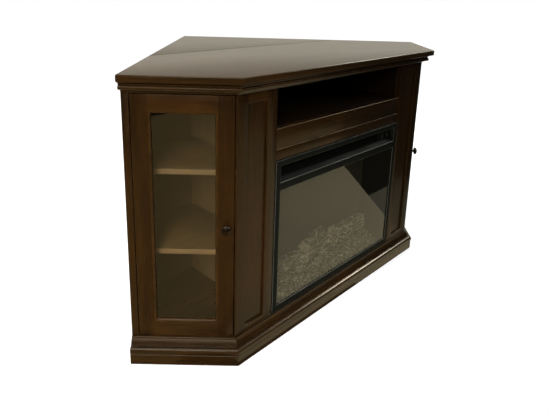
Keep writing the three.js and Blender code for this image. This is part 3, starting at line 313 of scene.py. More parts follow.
def copy(piece, name, matrix):
    """A second piece with its own mesh, moved or mirrored by the matrix."""
    select_only(piece)
    bpy.ops.object.duplicate(linked=False)
    other = bpy.context.object
    other.name = name
    other.data.name = name
    settle(other, matrix)
    if matrix.determinant() < 0:
        tidy_normals(other)
        smooth(other)
    return other


def mirrored(piece, name):
    return copy(piece, name, Matrix.Diagonal((-1, 1, 1, 1)))


def board_from(node, name, ease, segments=2):
    """A board in the shape of its solid, with its triangles merged and its arrises eased."""
    select_only(NODES[node])
    bpy.ops.object.duplicate(linked=False)
    board = bpy.context.object
    board.parent = None
    del board["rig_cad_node"], board["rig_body"]
    board.name = name
    board.data.name = name
    tidy_normals(board)
    edit(board)
    bpy.ops.mesh.dissolve_limited(angle_limit=math.radians(1))
    clear()
    return soften(board, ease, segments)


def join(pieces, name):
    clear()
    for piece in pieces:
        piece.select_set(True)
    bpy.context.view_layer.objects.active = pieces[0]
    if len(pieces) > 1:
        bpy.ops.object.join()
    whole = bpy.context.object
    whole.name = name
    whole.data.name = name
    return whole


def roughen(piece, texture, size, strength, group="", **settings):
    """Displaces a mesh with one of the procedural textures."""
    pattern = bpy.data.textures.new(piece.name + "_relief", texture)
    pattern.noise_scale = size / 1000
    for key, value in settings.items():
        setattr(pattern, key, value)
    modify(
        piece, "DISPLACE", texture=pattern, strength=strength / 1000, mid_level=0.5,
        texture_coords="LOCAL", vertex_group=group,
    )
    bpy.data.textures.remove(pattern)
    return piece


# ---------------------------------------------------------------- finishes
class Wire:
    """One output of a finish; arithmetic on it adds the maths nodes."""

    def __init__(self, finish, socket):
        self.finish = finish
        self.socket = socket

    def _maths(self, operation, *values):
        return self.finish.add(
            "ShaderNodeMath", {"operation": operation}, dict(enumerate(values)))

    def __add__(self, other):
        return self._maths("ADD", self, other)

    def __mul__(self, other):
        return self._maths("MULTIPLY", self, other)

    def __sub__(self, other):
        return self._maths("SUBTRACT", self, other)

    def __rsub__(self, other):
        return self._maths("SUBTRACT", other, self)

    def between(self, low, high):
        """0 at low, 1 at high, and smooth between them."""
        return self.finish.add(
            "ShaderNodeMapRange", {"interpolation_type": "SMOOTHSTEP"},
            {"Value": self, "From Min": low, "From Max": high})

    def at_most(self, other):
        return self._maths("MINIMUM", self, other)


class Finish:
    """A material, lamp or world, and its nodes."""

    def __init__(self, owner):
        owner.use_nodes = True
        self.tree = owner.node_tree
        self.tree.nodes.clear()

    def add(self, kind, settings=None, values=None, out=0):
        """Adds a node: its settings first, then the values or wires of its sockets."""
        node = self.tree.nodes.new(kind)
        for key, value in (settings or {}).items():
            if key == "stops":
                while len(node.color_ramp.elements) < len(value):
                    node.color_ramp.elements.new(0.5)
                for element, (place, colour) in zip(node.color_ramp.elements, value):
                    element.position = place
                    element.color = (*colour, 1)
            else:
                setattr(node, key, value)
        for key, value in (values or {}).items():
            socket = node.inputs[key]
            if isinstance(value, Wire):
                self.tree.links.new(value.socket, socket)
            elif hasattr(value, "__len__") and len(value) == 3 and socket.type == "RGBA":
                socket.default_value = (*value, 1)
            else:
                socket.default_value = value
        return Wire(self, node.outputs[out]) if node.outputs else None

    def place(self, turn=(0, 0, 0), stretch=(1, 1, 1), centre=(0, 0, 0)):
        """Object coordinates about centre, turned and then drawn out by stretch."""
        raw = self.add("ShaderNodeTexCoord", out="Object")
        return self.add(
            "ShaderNodeMapping", {"vector_type": "TEXTURE"},
            {"Vector": raw, "Location": centre, "Rotation": turn, "Scale": stretch})

    def noise(self, place, scale, detail=3.0, roughness=0.5, distortion=0.0):
        return self.add(
            "ShaderNodeTexNoise", {},
            {"Vector": place, "Scale": scale, "Detail": detail, "Roughness": roughness,
             "Distortion": distortion}, out="Fac")

    def blend(self, factor, a, b):
        return self.add("ShaderNodeMix", {"data_type": "RGBA"}, {0: factor, 6: a, 7: b}, out=2)

    def bump(self, height, strength, distance):
        return self.add(
            "ShaderNodeBump", {},
            {"Height": height, "Strength": strength, "Distance": distance})

    def shader(self, **values):
        names = {key.replace("_", " ").title().replace("Ior", "IOR"): value
                 for key, value in values.items()}
        return self.add("ShaderNodeBsdfPrincipled", {}, names)

    def output(self, shader):
        self.add("ShaderNodeOutputMaterial", {}, {"Surface": shader})


def new_finish(name):
    material = bpy.data.materials.new(name)
    return material, Finish(material)


def palette():
    return bpy.context.scene.console_colours


GRAIN = {
    "upright": ((0, 0, 0), (1, 1, 18)),
    "level": ((0, 0, 0), (18, 1, 1)),
    "left_side": ((0, 0, -TURN), (18, 1, 1)),
    "right_side": ((0, 0, TURN), (18, 1, 1)),
}


def shade(colour, share):
    return [c * share for c in colour]


def stained_wood(name, grain, tone, streak, gloss=0.24, fine=1.0, patches=1.0, shine=None):
    """Dark stain over a close grain, with a satin sheen."""
    material, finish = new_finish(name)
    turn, stretch = GRAIN[grain]
    along = finish.place(turn, stretch)
    round_about = finish.place()
    fibre = finish.noise(along, 300.0 * fine, 5.0, 0.62)
    figure = finish.noise(along, 34.0 * fine, 3.0, 0.5, 0.9)
    cloud = finish.noise(round_about, 3.6, 2.0, 0.5)
    pores = finish.noise(along, 900.0 * fine, 2.0, 0.5).between(0.56, 0.72)
    share = (figure * 0.55 + fibre * 0.45).between(0.32, 0.68)
    colour = finish.blend(share, tone, streak)
    warm = [min(1.0, c * f) for c, f in zip(streak, (1.45, 1.15, 0.85))]
    colour = finish.blend(cloud.between(0.48, 0.78) * 0.6, colour, warm)
    colour = finish.blend(pores * 0.5, colour, shade(tone, 0.45))
    sheen = finish.noise(round_about, 26.0, 3.0, 0.6)
    height = fibre * 0.6 - pores * 0.7
    finish.output(finish.shader(
        base_color=colour,
        roughness=(fibre - 0.5) * 0.12 + (sheen - 0.5) * (0.1 * patches) + gloss,
        specular_ior_level=palette().wood_shine if shine is None else shine,
        specular_tint=(1.0, 0.86, 0.66, 1.0),
        normal=finish.bump(height, 0.25, 0.0003),
    ))
    return material


def plain_metal(
    name, colour, rough, metallic=1.0, grit=500.0, wear=0.0, worn=(0.5, 0.5, 0.5), shine=0.5,
):
    """Metal with a fine grit, or paint when metallic is 0."""
    material, finish = new_finish(name)
    place = finish.place()
    dust = finish.noise(place, grit, 2.0, 0.6)
    wipe = finish.noise(place, 18.0, 3.0, 0.55)
    tone = finish.blend(wipe.between(0.35, 0.7) * 0.35, colour, shade(colour, 0.7))
    if wear:
        tone = finish.blend(
            finish.noise(place, 140.0, 4.0, 0.7).between(0.62, 0.74) * wear, tone, worn)
    finish.output(finish.shader(
        base_color=tone, metallic=metallic, specular_ior_level=shine,
        roughness=(wipe - 0.5) * 0.2 + (dust - 0.5) * 0.1 + rough,
        normal=finish.bump(dust, 0.18, 0.0002),
    ))
    return material


def clear_glass(name, tint, shine):
    """A pane: tinted light goes through, and the room shines on it at low angles."""
    material, finish = new_finish(name)
    through = finish.add("ShaderNodeBsdfTransparent", {}, {"Color": tint})
    surface = finish.add(
        "ShaderNodeBsdfGlossy", {}, {"Color": (1, 1, 1), "Roughness": 0.0})
    edge = finish.add("ShaderNodeFresnel", {}, {"IOR": shine})
    outer = 1 - finish.add("ShaderNodeNewGeometry", out="Backfacing")
    finish.output(
        finish.add("ShaderNodeMixShader", {}, {0: edge * outer, 1: through, 2: surface}))
    return material


def cast_resin(name, pale, dark, scale, stretch=(1, 1, 1), ridges=0.8):
    """Painted resin: pale high spots, dark crevices."""
    material, finish = new_finish(name)
    place = finish.place(stretch=stretch)
    lumps = finish.noise(place, scale, 5.0, 0.65, 0.4)
    specks = finish.noise(finish.place(), scale * 6, 3.0, 0.6)
    cracks = finish.add(
        "ShaderNodeTexVoronoi", {"feature": "DISTANCE_TO_EDGE"},
        {"Vector": place, "Scale": scale * ridges})
    middling = [a * 0.3 + b * 0.7 for a, b in zip(pale, dark)]
    colour = finish.blend(1 - lumps.between(0.36, 0.6), middling, dark)
    colour = finish.blend(specks.between(0.5, 0.7) * 0.5, colour, shade(pale, 0.5))
    ridge = (1 - cracks.between(0.015, 0.08)) * specks.between(0.38, 0.56)
    colour = finish.blend(ridge * 0.8, colour, [min(1, c * 1.7) for c in pale])
    finish.output(finish.shader(
        base_color=colour, roughness=0.86, specular_ior_level=0.25,
        normal=finish.bump(lumps - cracks.between(0.0, 0.12) * 0.6 + specks * 0.3, 0.7, 0.0016),
    ))
    return material


def cut_end(name, centre, axis, pale, dark):
    """Sawn log end with growth rings round its own middle."""
    material, finish = new_finish(name)
    turn = Vector((1, 0, 0)).rotation_difference(Vector(axis)).to_euler()
    place = finish.place(turn, centre=centre)
    rings = finish.add(
        "ShaderNodeTexWave", {"wave_type": "RINGS", "rings_direction": "X"},
        {"Vector": place, "Scale": 52.0, "Distortion": 2.2, "Detail": 2.0, "Detail Scale": 30.0},
        out="Fac")
    char = finish.noise(place, 70.0, 4.0, 0.6)
    colour = finish.blend(rings * 0.8, pale, dark)
    colour = finish.blend(char.between(0.5, 0.75) * 0.7, colour, shade(dark, 0.35))
    finish.output(finish.shader(
        base_color=colour, roughness=0.85, specular_ior_level=0.25,
        normal=finish.bump(rings * 0.6 + char, 0.6, 0.001),
    ))
    return material


STOCK = {}


def finish_of(name):
    """A shared finish, made when it is first asked for."""
    if name in STOCK:
        return STOCK[name]
    hues = palette()

    def stained(share):
        return shade(hues.stain, share), shade(hues.stain_streak, share)

    def lining(tone, streak):
        return shade(hues.inner_wood, tone), shade(hues.inner_wood, streak)

    recipes = {
        "espresso_upright": lambda n: stained_wood(n, "upright", *stained(0.54)),
        "espresso_level": lambda n: stained_wood(n, "level", *stained(0.7)),
        "espresso_left": lambda n: stained_wood(n, "left_side", *stained(0.85)),
        "espresso_right": lambda n: stained_wood(n, "right_side", *stained(0.85)),
        "espresso_top": lambda n: stained_wood(
            n, "level", *stained(1), gloss=0.3, fine=0.8, patches=0.3),
        "espresso_panel": lambda n: stained_wood(n, "upright", *stained(0.6), fine=0.7),
        "moulding_front": lambda n: stained_wood(n, "level", *stained(0.7), 0.2, shine=0.5),
        "moulding_left": lambda n: stained_wood(
            n, "left_side", *stained(0.6), 0.2, shine=0.36),
        "moulding_right": lambda n: stained_wood(
            n, "right_side", *stained(0.6), 0.2, shine=0.36),
        # pale brown for eased arrises and the underside of the cornice bead: a painted highlight
        "rubbed_arris": lambda n: stained_wood(
            n, "level", (0.17, 0.13, 0.08), (0.22, 0.17, 0.11), 0.3, shine=0.5),
        # near black for the doors' edges in the gaps: painted shade between door and frame
        "door_gap": lambda n: stained_wood(
            n, "upright", (0.003, 0.002, 0.001), (0.004, 0.003, 0.002), 0.7, shine=0.05),
        "cabinet_lining": lambda n: stained_wood(n, "upright", *lining(1, 1.5), 0.5, fine=0.6),
        # the media bay's boards, the stain darkened near black: painted shade in the recess
        "bay_lining": lambda n: stained_wood(n, "level", *stained(0.16), 0.7, shine=0.06),
        "shelf_board": lambda n: stained_wood(n, "level", *lining(1, 1.5), 0.45),
        # the shelves' front edges, lighter than the boards: painted light where light through the
        # glass falls
        "shelf_edge": lambda n: stained_wood(n, "level", *lining(2.3, 2.8), 0.4),
        "back_board": lambda n: stained_wood(
            n, "level", (0.03, 0.02, 0.014), (0.045, 0.03, 0.02), 0.62, fine=0.5),
        "bronze": lambda n: plain_metal(
            n, (0.05, 0.036, 0.028), 0.3, 1.0, 420.0, 0.35, (0.2, 0.12, 0.07)),
        "zinc_plate": lambda n: plain_metal(n, (0.5, 0.5, 0.5), 0.34, 1.0, 260.0),
        "black_enamel": lambda n: plain_metal(
            n, list(hues.steel_paint), 0.45, 0.0, 700.0, shine=0.04),
        "vent_black": lambda n: plain_metal(
            n, (0.003, 0.0042, 0.0034), 0.6, 0.0, 500.0, shine=0.05),
        # pale grey for the trim's eased edges: a painted highlight
        "rubbed_edge": lambda n: plain_metal(n, (0.15, 0.155, 0.14), 0.35, 0.3, 500.0),
        "black_sheet": lambda n: plain_metal(n, shade(hues.steel_paint, 0.8), 0.5, 0.0, 500.0),
        "bright_tin": lambda n: plain_metal(n, (0.75, 0.74, 0.72), 0.24, 1.0, 200.0),
        "motor_can": lambda n: plain_metal(n, (0.4, 0.4, 0.4), 0.4, 1.0, 300.0),
        "button_black": lambda n: plain_metal(
            n, (0.008, 0.008, 0.0085), 0.42, 0.0, 900.0, shine=0.3),
        "door_pane": lambda n: clear_glass(n, (0.94, 0.95, 0.92), 1.7),
        "fire_pane": lambda n: clear_glass(n, list(hues.fire_glass_tint), 1.65),
        "flame_sheet": lambda n: plain_metal(n, (0.05, 0.05, 0.042), 0.6, 0.0, 900.0),
        "ember_bed": lambda n: cast_resin(
            n, list(hues.ember_pale), list(hues.ember_dark), 62.0, ridges=0.9),
        "ember_chunk": lambda n: cast_resin(
            n, shade(hues.ember_pale, 1.15), list(hues.ember_dark), 90.0),
        "log_bark": lambda n: cast_resin(
            n, list(hues.log_pale), list(hues.log_dark), 60.0, (4, 1, 1), 1.1),
    }
    STOCK[name] = recipes[name](name)
    return STOCK[name]


def dress(node, name):
    """Gives a node of the model its finish."""
    for socket in NODES[node].material_slots:
        socket.material = finish_of(name)


def hand_over(piece, body, slot, finish, *nodes, also=()):
    """Finishes a new piece, hangs it on its body and lets it stand for its nodes.

    also holds pairs for parts of the piece: a finish or its name, and a test of a face's
    middle and normal.
    """
    piece.data.materials.clear()
    piece.data.materials.append(finish_of(finish))
    for index, (other, test) in enumerate(also, start=1):
        piece.data.materials.append(finish_of(other) if isinstance(other, str) else other)
        for face in piece.data.polygons:
            if test(face.center * 1000, face.normal):
                face.material_index = index
    clear()
    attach(piece, body)
    if nodes:
        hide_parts(*nodes)
    return piece


# ---------------------------------------------------------------- settings
def size_property(label, text, value, low, high):
    return bpy.props.FloatProperty(
        name=label, description=text, default=value, min=low, max=high,
        subtype="DISTANCE", unit="LENGTH", precision=4)


def colour_property(label, text, value):
    return bpy.props.FloatVectorProperty(
        name=label, description=text, default=value, min=0, max=1, size=3, subtype="COLOR")


class ConsoleSizes(bpy.types.PropertyGroup):
    top_ease: size_property("Top ease", "Rounding of the top boards", 0.003, 0.0005, 0.006)
    board_ease: size_property(
        "Board ease", "Rounding of the front boards", 0.0012, 0.0003, 0.003)
    bead: size_property("Door bead", "Width of the bead round a pane", 0.008, 0.004, 0.012)
    knob_diameter: size_property("Knob", "Diameter of a door knob", 0.028, 0.02, 0.036)
    trim_ease: size_property("Trim ease", "Rounding of the trim", 0.0008, 0.0003, 0.0015)


class ConsoleColours(bpy.types.PropertyGroup):
    stain: colour_property("Stain", "Dark tone of the wood", (0.021, 0.0105, 0.0034))
    stain_streak: colour_property("Streak", "Lighter grain of the wood", (0.05, 0.0225, 0.0058))
    inner_wood: colour_property("Inside", "Wood inside the cabinets", (0.066, 0.042, 0.021))
    steel_paint: colour_property("Steel paint", "Paint of the trim", (0.0075, 0.009, 0.0078))
    fire_glass_tint: colour_property(
        "Fire glass", "What the fire glass lets through", (0.8, 0.785, 0.71))
    ember_pale: colour_property("Pale embers", "High spots of the bed", (0.4, 0.386, 0.35))
    ember_dark: colour_property("Dark embers", "Crevices of the bed", (0.03, 0.026, 0.02))
    log_pale: colour_property("Pale bark", "High spots of the logs", (0.42, 0.407, 0.374))
    log_dark: colour_property("Dark bark", "Crevices of the logs", (0.06, 0.05, 0.038))
    wood_shine: bpy.props.FloatProperty(
        name="Wood shine", description="Reflection of the stained wood", default=0.26,
        min=0, max=1, subtype="FACTOR")


def sizes():
    return bpy.context.scene.console_sizes


class ConsoleStep:
    """What every operator of this console shares."""

    bl_options = {"REGISTER", "UNDO"}

    def execute(self, context):
        self.build(context)
        clear()
        return {"FINISHED"}


# ---------------------------------------------------------------- top and mouldings
class CONSOLE_OT_top(ConsoleStep, bpy.types.Operator):
    """Makes the main top board and the triangular leaf behind it"""

    bl_idname = "console.top_boards"
    bl_label = "Top boards"

    def build(self, context):
        ease = sizes().top_ease * 1000
        for node, body in (("main_top", "console"), ("rear_leaf", "rear_leaf")):
            low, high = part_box(node)
            top = begin(
                node + "_board", bpy.ops.mesh.primitive_cube_add, size=1,
                location=(low + high) / 2, scale=high - low)
            settle(top)
            for side in (-1, 1):
                wall = mm(side * TOP_CORNER[0], TOP_CORNER[1], 0)
                slice_off(top, wall, (side * SLANT, SLANT, 0))
                if node == "main_top":
                    slice_off(top, wall, (side * SLANT, -SLANT, 0))
            soften(top, ease, 3)
            hand_over(top, body, "espresso_top", "espresso_top", node, also=[
                ("espresso_left", lambda c, n: n.x < -0.4 and n.y < -0.4 and abs(n.z) < 0.9),
                ("espresso_right", lambda c, n: n.x > 0.4 and n.y < -0.4 and abs(n.z) < 0.9),
            ])


# outlines of the mouldings as (distance out from the cabinet, height) pairs
CORNICE = [
    (0, 770), (0.9, 773.1), (3.4, 775.8), (7.5, 777.8), (13, 778.8),
    (16, 779), (18.2, 779.4), (20.1, 780.5), (21.5, 782.4), (22, 785), (21.5, 787.6),
    (20.1, 789.5), (18.4, 790.4), (17.5, 790.9), (17.9, 792.1),
    (18.4, 794), (19.8, 796.2), (22.3, 798.1), (26, 799.3), (31, 799.8), (31, 800.7), (0, 800.7),
]
PLINTH_SHAPE = [
    (0, 0), (26, 0), (26, 30.6), (25.2, 31.4),
    (23.6, 31.8), (26.2, 33.4), (27.6, 36.2), (28, 40), (27.5, 44), (26, 47.2), (23.4, 49.4),
    (20, 50.4), (15.6, 50.8), (14, 53), (11.9, 57.4), (9, 62.4), (6, 66.2), (4.3, 67.9),
    (4, 68.6), (4, 71.6), (3.6, 72), (0, 72),
]


class CONSOLE_OT_mouldings(ConsoleStep, bpy.types.Operator):
    """Runs the cornice and the plinth round the cabinet, mitred at the corners"""

    bl_idname = "console.mouldings"
    bl_label = "Cornice and plinth"

    def build(self, context):
        mitre = (math.cos(TURN / 2), math.sin(TURN / 2))
        for kind, shape in (("cornice", CORNICE), ("plinth", PLINTH_SHAPE)):
            front = draw(kind + "_front_run", [(-500, -o, z) for o, z in shape], (1000, 0, 0))
            for side in (-1, 1):
                slice_off(
                    front, mm(side * (FRONT_HALF - SEAT), 0, 0), (side * mitre[0], mitre[1], 0))
            smooth(front, 32)
            # the underside of the cornice bead gets a pale finish: a painted highlight
            lit = [("rubbed_arris", lambda c, n: 779.1 < c.z < 780.6 and n.z < -0.3)]
            hand_over(front, "console", "espresso", "moulding_front", kind + "_front", also=lit)
            side_run = draw(
                kind + "_left_run", [(-SIDE_WIDTH, -o, z) for o, z in shape], (320, 0, 0), "side")
            slice_off(side_run, Vector((-SEAT, 0, 0)) / 1000, (mitre[0], mitre[1], 0))
            settle(side_run, SIDE_SPACE)
            smooth(side_run, 32)
            other = mirrored(side_run, kind + "_right_run")
            smooth(other, 32)
            hand_over(side_run, "console", "espresso", "moulding_left", kind + "_left", also=lit)
            hand_over(other, "console", "espresso", "moulding_right", kind + "_right", also=lit)


# ---------------------------------------------------------------- front
class CONSOLE_OT_front(ConsoleStep, bpy.types.Operator):
    """Makes the pilasters and the boards across the front"""

    bl_idname = "console.front_boards"
    bl_label = "Pilasters and rails"

    def build(self, context):
        ease = sizes().board_ease * 1000
        pilaster = block(
            "left_pilaster", (PILASTER[0], 0, PLINTH_TOP + GAP),
            (PILASTER[1], 18, CARCASS_TOP - GAP))
        slice_off(pilaster, mm(-FRONT_HALF, 0, 0), (-SLANT, -SLANT, 0))
        slice_off(
            pilaster, mm(-FRONT_HALF - PILASTER_RETURN, PILASTER_RETURN, 0), (-SLANT, SLANT, 0))
        x0, x1, z0, z1 = PILASTER_WINDOW
        pierce(pilaster, *PILASTER_WINDOW)
        soften(pilaster, ease, 2)
        twin = mirrored(pilaster, "right_pilaster")
        rails = [("espresso_level", lambda c, n: -x1 + 0.5 < abs(c.x) < -x0 - 0.5
                  and not z0 - 0.1 <= c.z <= z1 + 0.1 and abs(n.y) > 0.9)]
        for piece, side in ((pilaster, "left"), (twin, "right")):
            hand_over(
                piece, "console", "espresso", "espresso_upright", side + "_pilaster_frame",
                also=rails)
        for node in ("left_pilaster_panel", "right_pilaster_panel"):
            dress(node, "espresso_panel")
        fascia = block(
            "fascia_front", (-BOARD_HALF, BOARD_FRONT, FASCIA_LOW),
            (BOARD_HALF, BOARD_BACK, FASCIA_HIGH))
        soften(fascia, 1.6, 3)
        # the eased top arrises of the fascia and header get a pale finish: a painted highlight
        arris = [("rubbed_arris", lambda c, n: n.y < -0.3 and n.z > 0.3)]
        hand_over(fascia, "console", "espresso", "espresso_level", "fascia_board", also=arris)
        header = block(
            "header_front", (-BOARD_HALF, BOARD_FRONT, HEADER_LOW),
            (BOARD_HALF, BOARD_BACK, HEADER_HIGH))
        soften(header, ease, 2)
        hand_over(header, "console", "espresso", "espresso_level", "header_rail", also=arris)


def side_view(centre, normal):
    """A face's middle and normal, of either side, in the left side face's space."""
    flip = -1 if centre.x > 0 else 1
    place = SIDE_SPACE.inverted() @ (Vector((centre.x * flip, centre.y, centre.z)) / 1000)
    look = SIDE_SPACE.to_3x3().inverted() @ Vector((normal.x * flip, normal.y, normal.z))
    return place * 1000, look


class CONSOLE_OT_doors(ConsoleStep, bpy.types.Operator):
    """Makes the two glazed doors with their knobs"""

    bl_idname = "console.doors"
    bl_label = "Doors"

    def build(self, context):
        bead = sizes().bead * 1000
        hinge, free, low, high = DOOR
        x0, x1, z0, z1 = hinge + DOOR_STILE, free - DOOR_STILE, low + DOOR_STILE, high - DOOR_STILE
        door = block("left_door_board", (hinge, 0, low), (free, DOOR_THICKNESS, high), "side")
        sink(door, x0, x1, z0, z1, DOOR_REBATE)
        sight = (x0 + bead, x1 - bead, z0 + bead, z1 - bead)
        pierce(door, *sight)
        edit(door, False)
        for depth, width, segments in ((DOOR_REBATE, bead - 1.6, 5), (DOOR_THICKNESS, 2, 2)):
            pick("EDGE", lambda a, b: all(
                abs(p.y - depth) < 0.05 and sight[0] - 0.1 < p.x < sight[1] + 0.1
                and sight[2] - 0.1 < p.z < sight[3] + 0.1 for p in (a, b)))
            bpy.ops.mesh.bevel(offset=width / 1000, segments=segments, profile=0.5)
        clear()
        soften(door, 0.9, 2, 35)
        settle(door, SIDE_SPACE)
        twin = mirrored(door, "right_door_board")

        def rail(centre, normal):
            place, look = side_view(centre, normal)
            return x0 < place.x < x1 and abs(look.x) < 0.8

        # the door's edges facing the gaps are painted near black: painted shade
        def edge(centre, normal):
            place, look = side_view(centre, normal)
            return abs(look.x) > 0.6 and not hinge + 1.3 < place.x < free - 1.3

        for piece, side in ((door, "left"), (twin, "right")):
            hand_over(
                piece, side + "_door", "espresso", "espresso_upright", side + "_door_frame",
                also=[("espresso_" + side, rail), ("door_gap", edge)])
            dress(side + "_door_glass", "door_pane")
            dress(side + "_door_bottom_pivot", "bronze")
            dress(side + "_door_top_pivot", "bronze")
        self.knobs()

    def knobs(self):
        r = sizes().knob_diameter * 500
        shape = [
            (0.001, 0), (0.5 * r, 0), (0.5 * r, 1), (0.47 * r, 1.7), (0.38 * r, 2.6), (0.31 * r, 4),
            (0.285 * r, 6), (0.29 * r, 8.5), (0.33 * r, 10.8), (0.42 * r, 12), (0.6 * r, 12.8),
            (0.82 * r, 13.7), (0.95 * r, 14.9), (r, 16.6), (0.99 * r, 18), (0.93 * r, 19.8),
            (0.82 * r, 21.3), (0.74 * r, 21.9), (0.7 * r, 21.8), (0.62 * r, 22.6), (0.46 * r, 23.8),
            (0.26 * r, 24.6), (0.001, 25),
        ]
        centre = SIDE_SPACE @ (Vector(KNOB_PLACE) / 1000)
        out = SIDE_SPACE.to_3x3() @ Vector((0, -1, 0))
        knob = turn_on_lathe("left_knob", shape, centre, out)
        twin = mirrored(knob, "right_knob")
        hand_over(knob, "left_door", "bronze", "bronze", "left_door_knob")
        hand_over(twin, "right_door", "bronze", "bronze", "right_door_knob")


class CONSOLE_OT_shelves(ConsoleStep, bpy.types.Operator):
    """Eases the shelves of the side cabinets and makes the shelf of the media bay"""

    bl_idname = "console.shelves"
    bl_label = "Shelves"

    def build(self, context):
        for side, sign in (("left", -1), ("right", 1)):
            for level in ("lower", "upper"):
                node = "%s_%s_shelf" % (side, level)
                shelf = board_from(node, node + "_board", 1.4)
                # the shelves' front edges are lighter than the boards: painted light
                hand_over(shelf, "console", "shelf", "shelf_board", node, also=[
                    ("shelf_edge", lambda c, n: n.x * sign > 0.5 and n.y < -0.5)])
        board = block("media_shelf_board", *MEDIA_SHELF)
        soften(board, 0.8, 2)
        # the media shelf is darkened near black: painted shade in the bay
        hand_over(board, "console", "espresso", "bay_lining", "av_shelf")


class CONSOLE_OT_carcass(ConsoleStep, bpy.types.Operator):
    """Finishes the carcass boards and the back"""

    bl_idname = "console.carcass"
    bl_label = "Carcass boards"

    def build(self, context):
        for side, sign in (("left", -1), ("right", 1)):
            panel = board_from(side + "_side_panel", side + "_side_board", 0.8)
            hand_over(
                panel, "console", "espresso", "espresso_upright", side + "_side_panel", also=[
                    ("cabinet_lining", lambda c, n: n.x * sign < -0.6 and n.y < -0.6)])
            divider = board_from(side + "_divider", side + "_divider_board", 0.6)
            # the divider's face towards the media bay is darkened near black: painted shade
            hand_over(
                divider, "console", "interior", "cabinet_lining", side + "_divider", also=[
                    ("bay_lining", lambda c, n: n.x * sign < -0.8)])
        bottom = board_from("bottom_panel", "bottom_board", 0.6)
        hand_over(bottom, "console", "interior", "espresso_level", "bottom_panel")
        # the sub top over the media bay is darkened near black: painted shade
        for node, finish in (
            ("sub_top", "bay_lining"),
            ("back_panel", "back_board"), ("rear_rail", "back_board"),
        ):
            dress(node, finish)


class CONSOLE_OT_leaf_hardware(ConsoleStep, bpy.types.Operator):
    """Finishes the hinge and the stay under the rear leaf"""

    bl_idname = "console.leaf_hardware"
    bl_label = "Hinge and stay"

    def build(self, context):
        for node in (
            "leaf_hinge_top_plate", "leaf_hinge_leaf_plate", "leaf_hinge_pin",
            "leaf_stay_arm", "leaf_stay_strut", "leaf_stay_plate",
        ):
            dress(node, "zinc_plate")


# ---------------------------------------------------------------- electric firebox
class CONSOLE_OT_insert(ConsoleStep, bpy.types.Operator):
    """Makes the trim of the firebox and finishes its glass, shell and grille"""

    bl_idname = "console.insert_trim"
    bl_label = "Firebox trim"

    def build(self, context):
        half, low, high = TRIM
        face = block("trim_face", (-half, TRIM_FRONT, low), (half, TRIM_BACK, high))
        pierce(face, *FIRE_WINDOW)
        pierce(face, *VENT_WINDOW)
        skirts = [block(name, (x0, 0.5, z0), (x1, TRIM_END, high)) for name, x0, x1, z0 in (
            ("trim_left", -half, TRIM_SKIRT - half, low),
            ("trim_right", half - TRIM_SKIRT, half, low),
            ("trim_top", -half, half, high - TRIM_SKIRT),
        )]
        soften(face, sizes().trim_ease * 1000, 2)
        trim = join([face, *skirts], "insert_trim")
        # the trim's eased front edges get a pale grey finish: a painted highlight
        hand_over(trim, "console", "black_steel", "black_enamel", "insert_trim_frame", also=[
            ("rubbed_edge", lambda c, n: n.y < -0.2 and max(abs(n.x), abs(n.z)) > 0.3
             and c.y < TRIM_BACK - FRONT_DEPTH)])
        dress("fire_glass", "fire_pane")
        dress("firebox_shell", "black_sheet")
        dress("heater_grille", "vent_black")
        for node in ("flame_button", "heater_button", "power_inlet"):
            dress(node, "button_black")


class CONSOLE_OT_works(ConsoleStep, bpy.types.Operator):
    """Finishes the blower, the flame rotor and the flame screen"""

    bl_idname = "console.works"
    bl_label = "Blower and flame rotor"

    def build(self, context):
        dress("blower_motor", "motor_can")
        dress("rotor_motor", "motor_can")
        dress("blower_wheel", "zinc_plate")
        dress("flame_rotor", "bright_tin")
        dress("flame_screen", "flame_sheet")


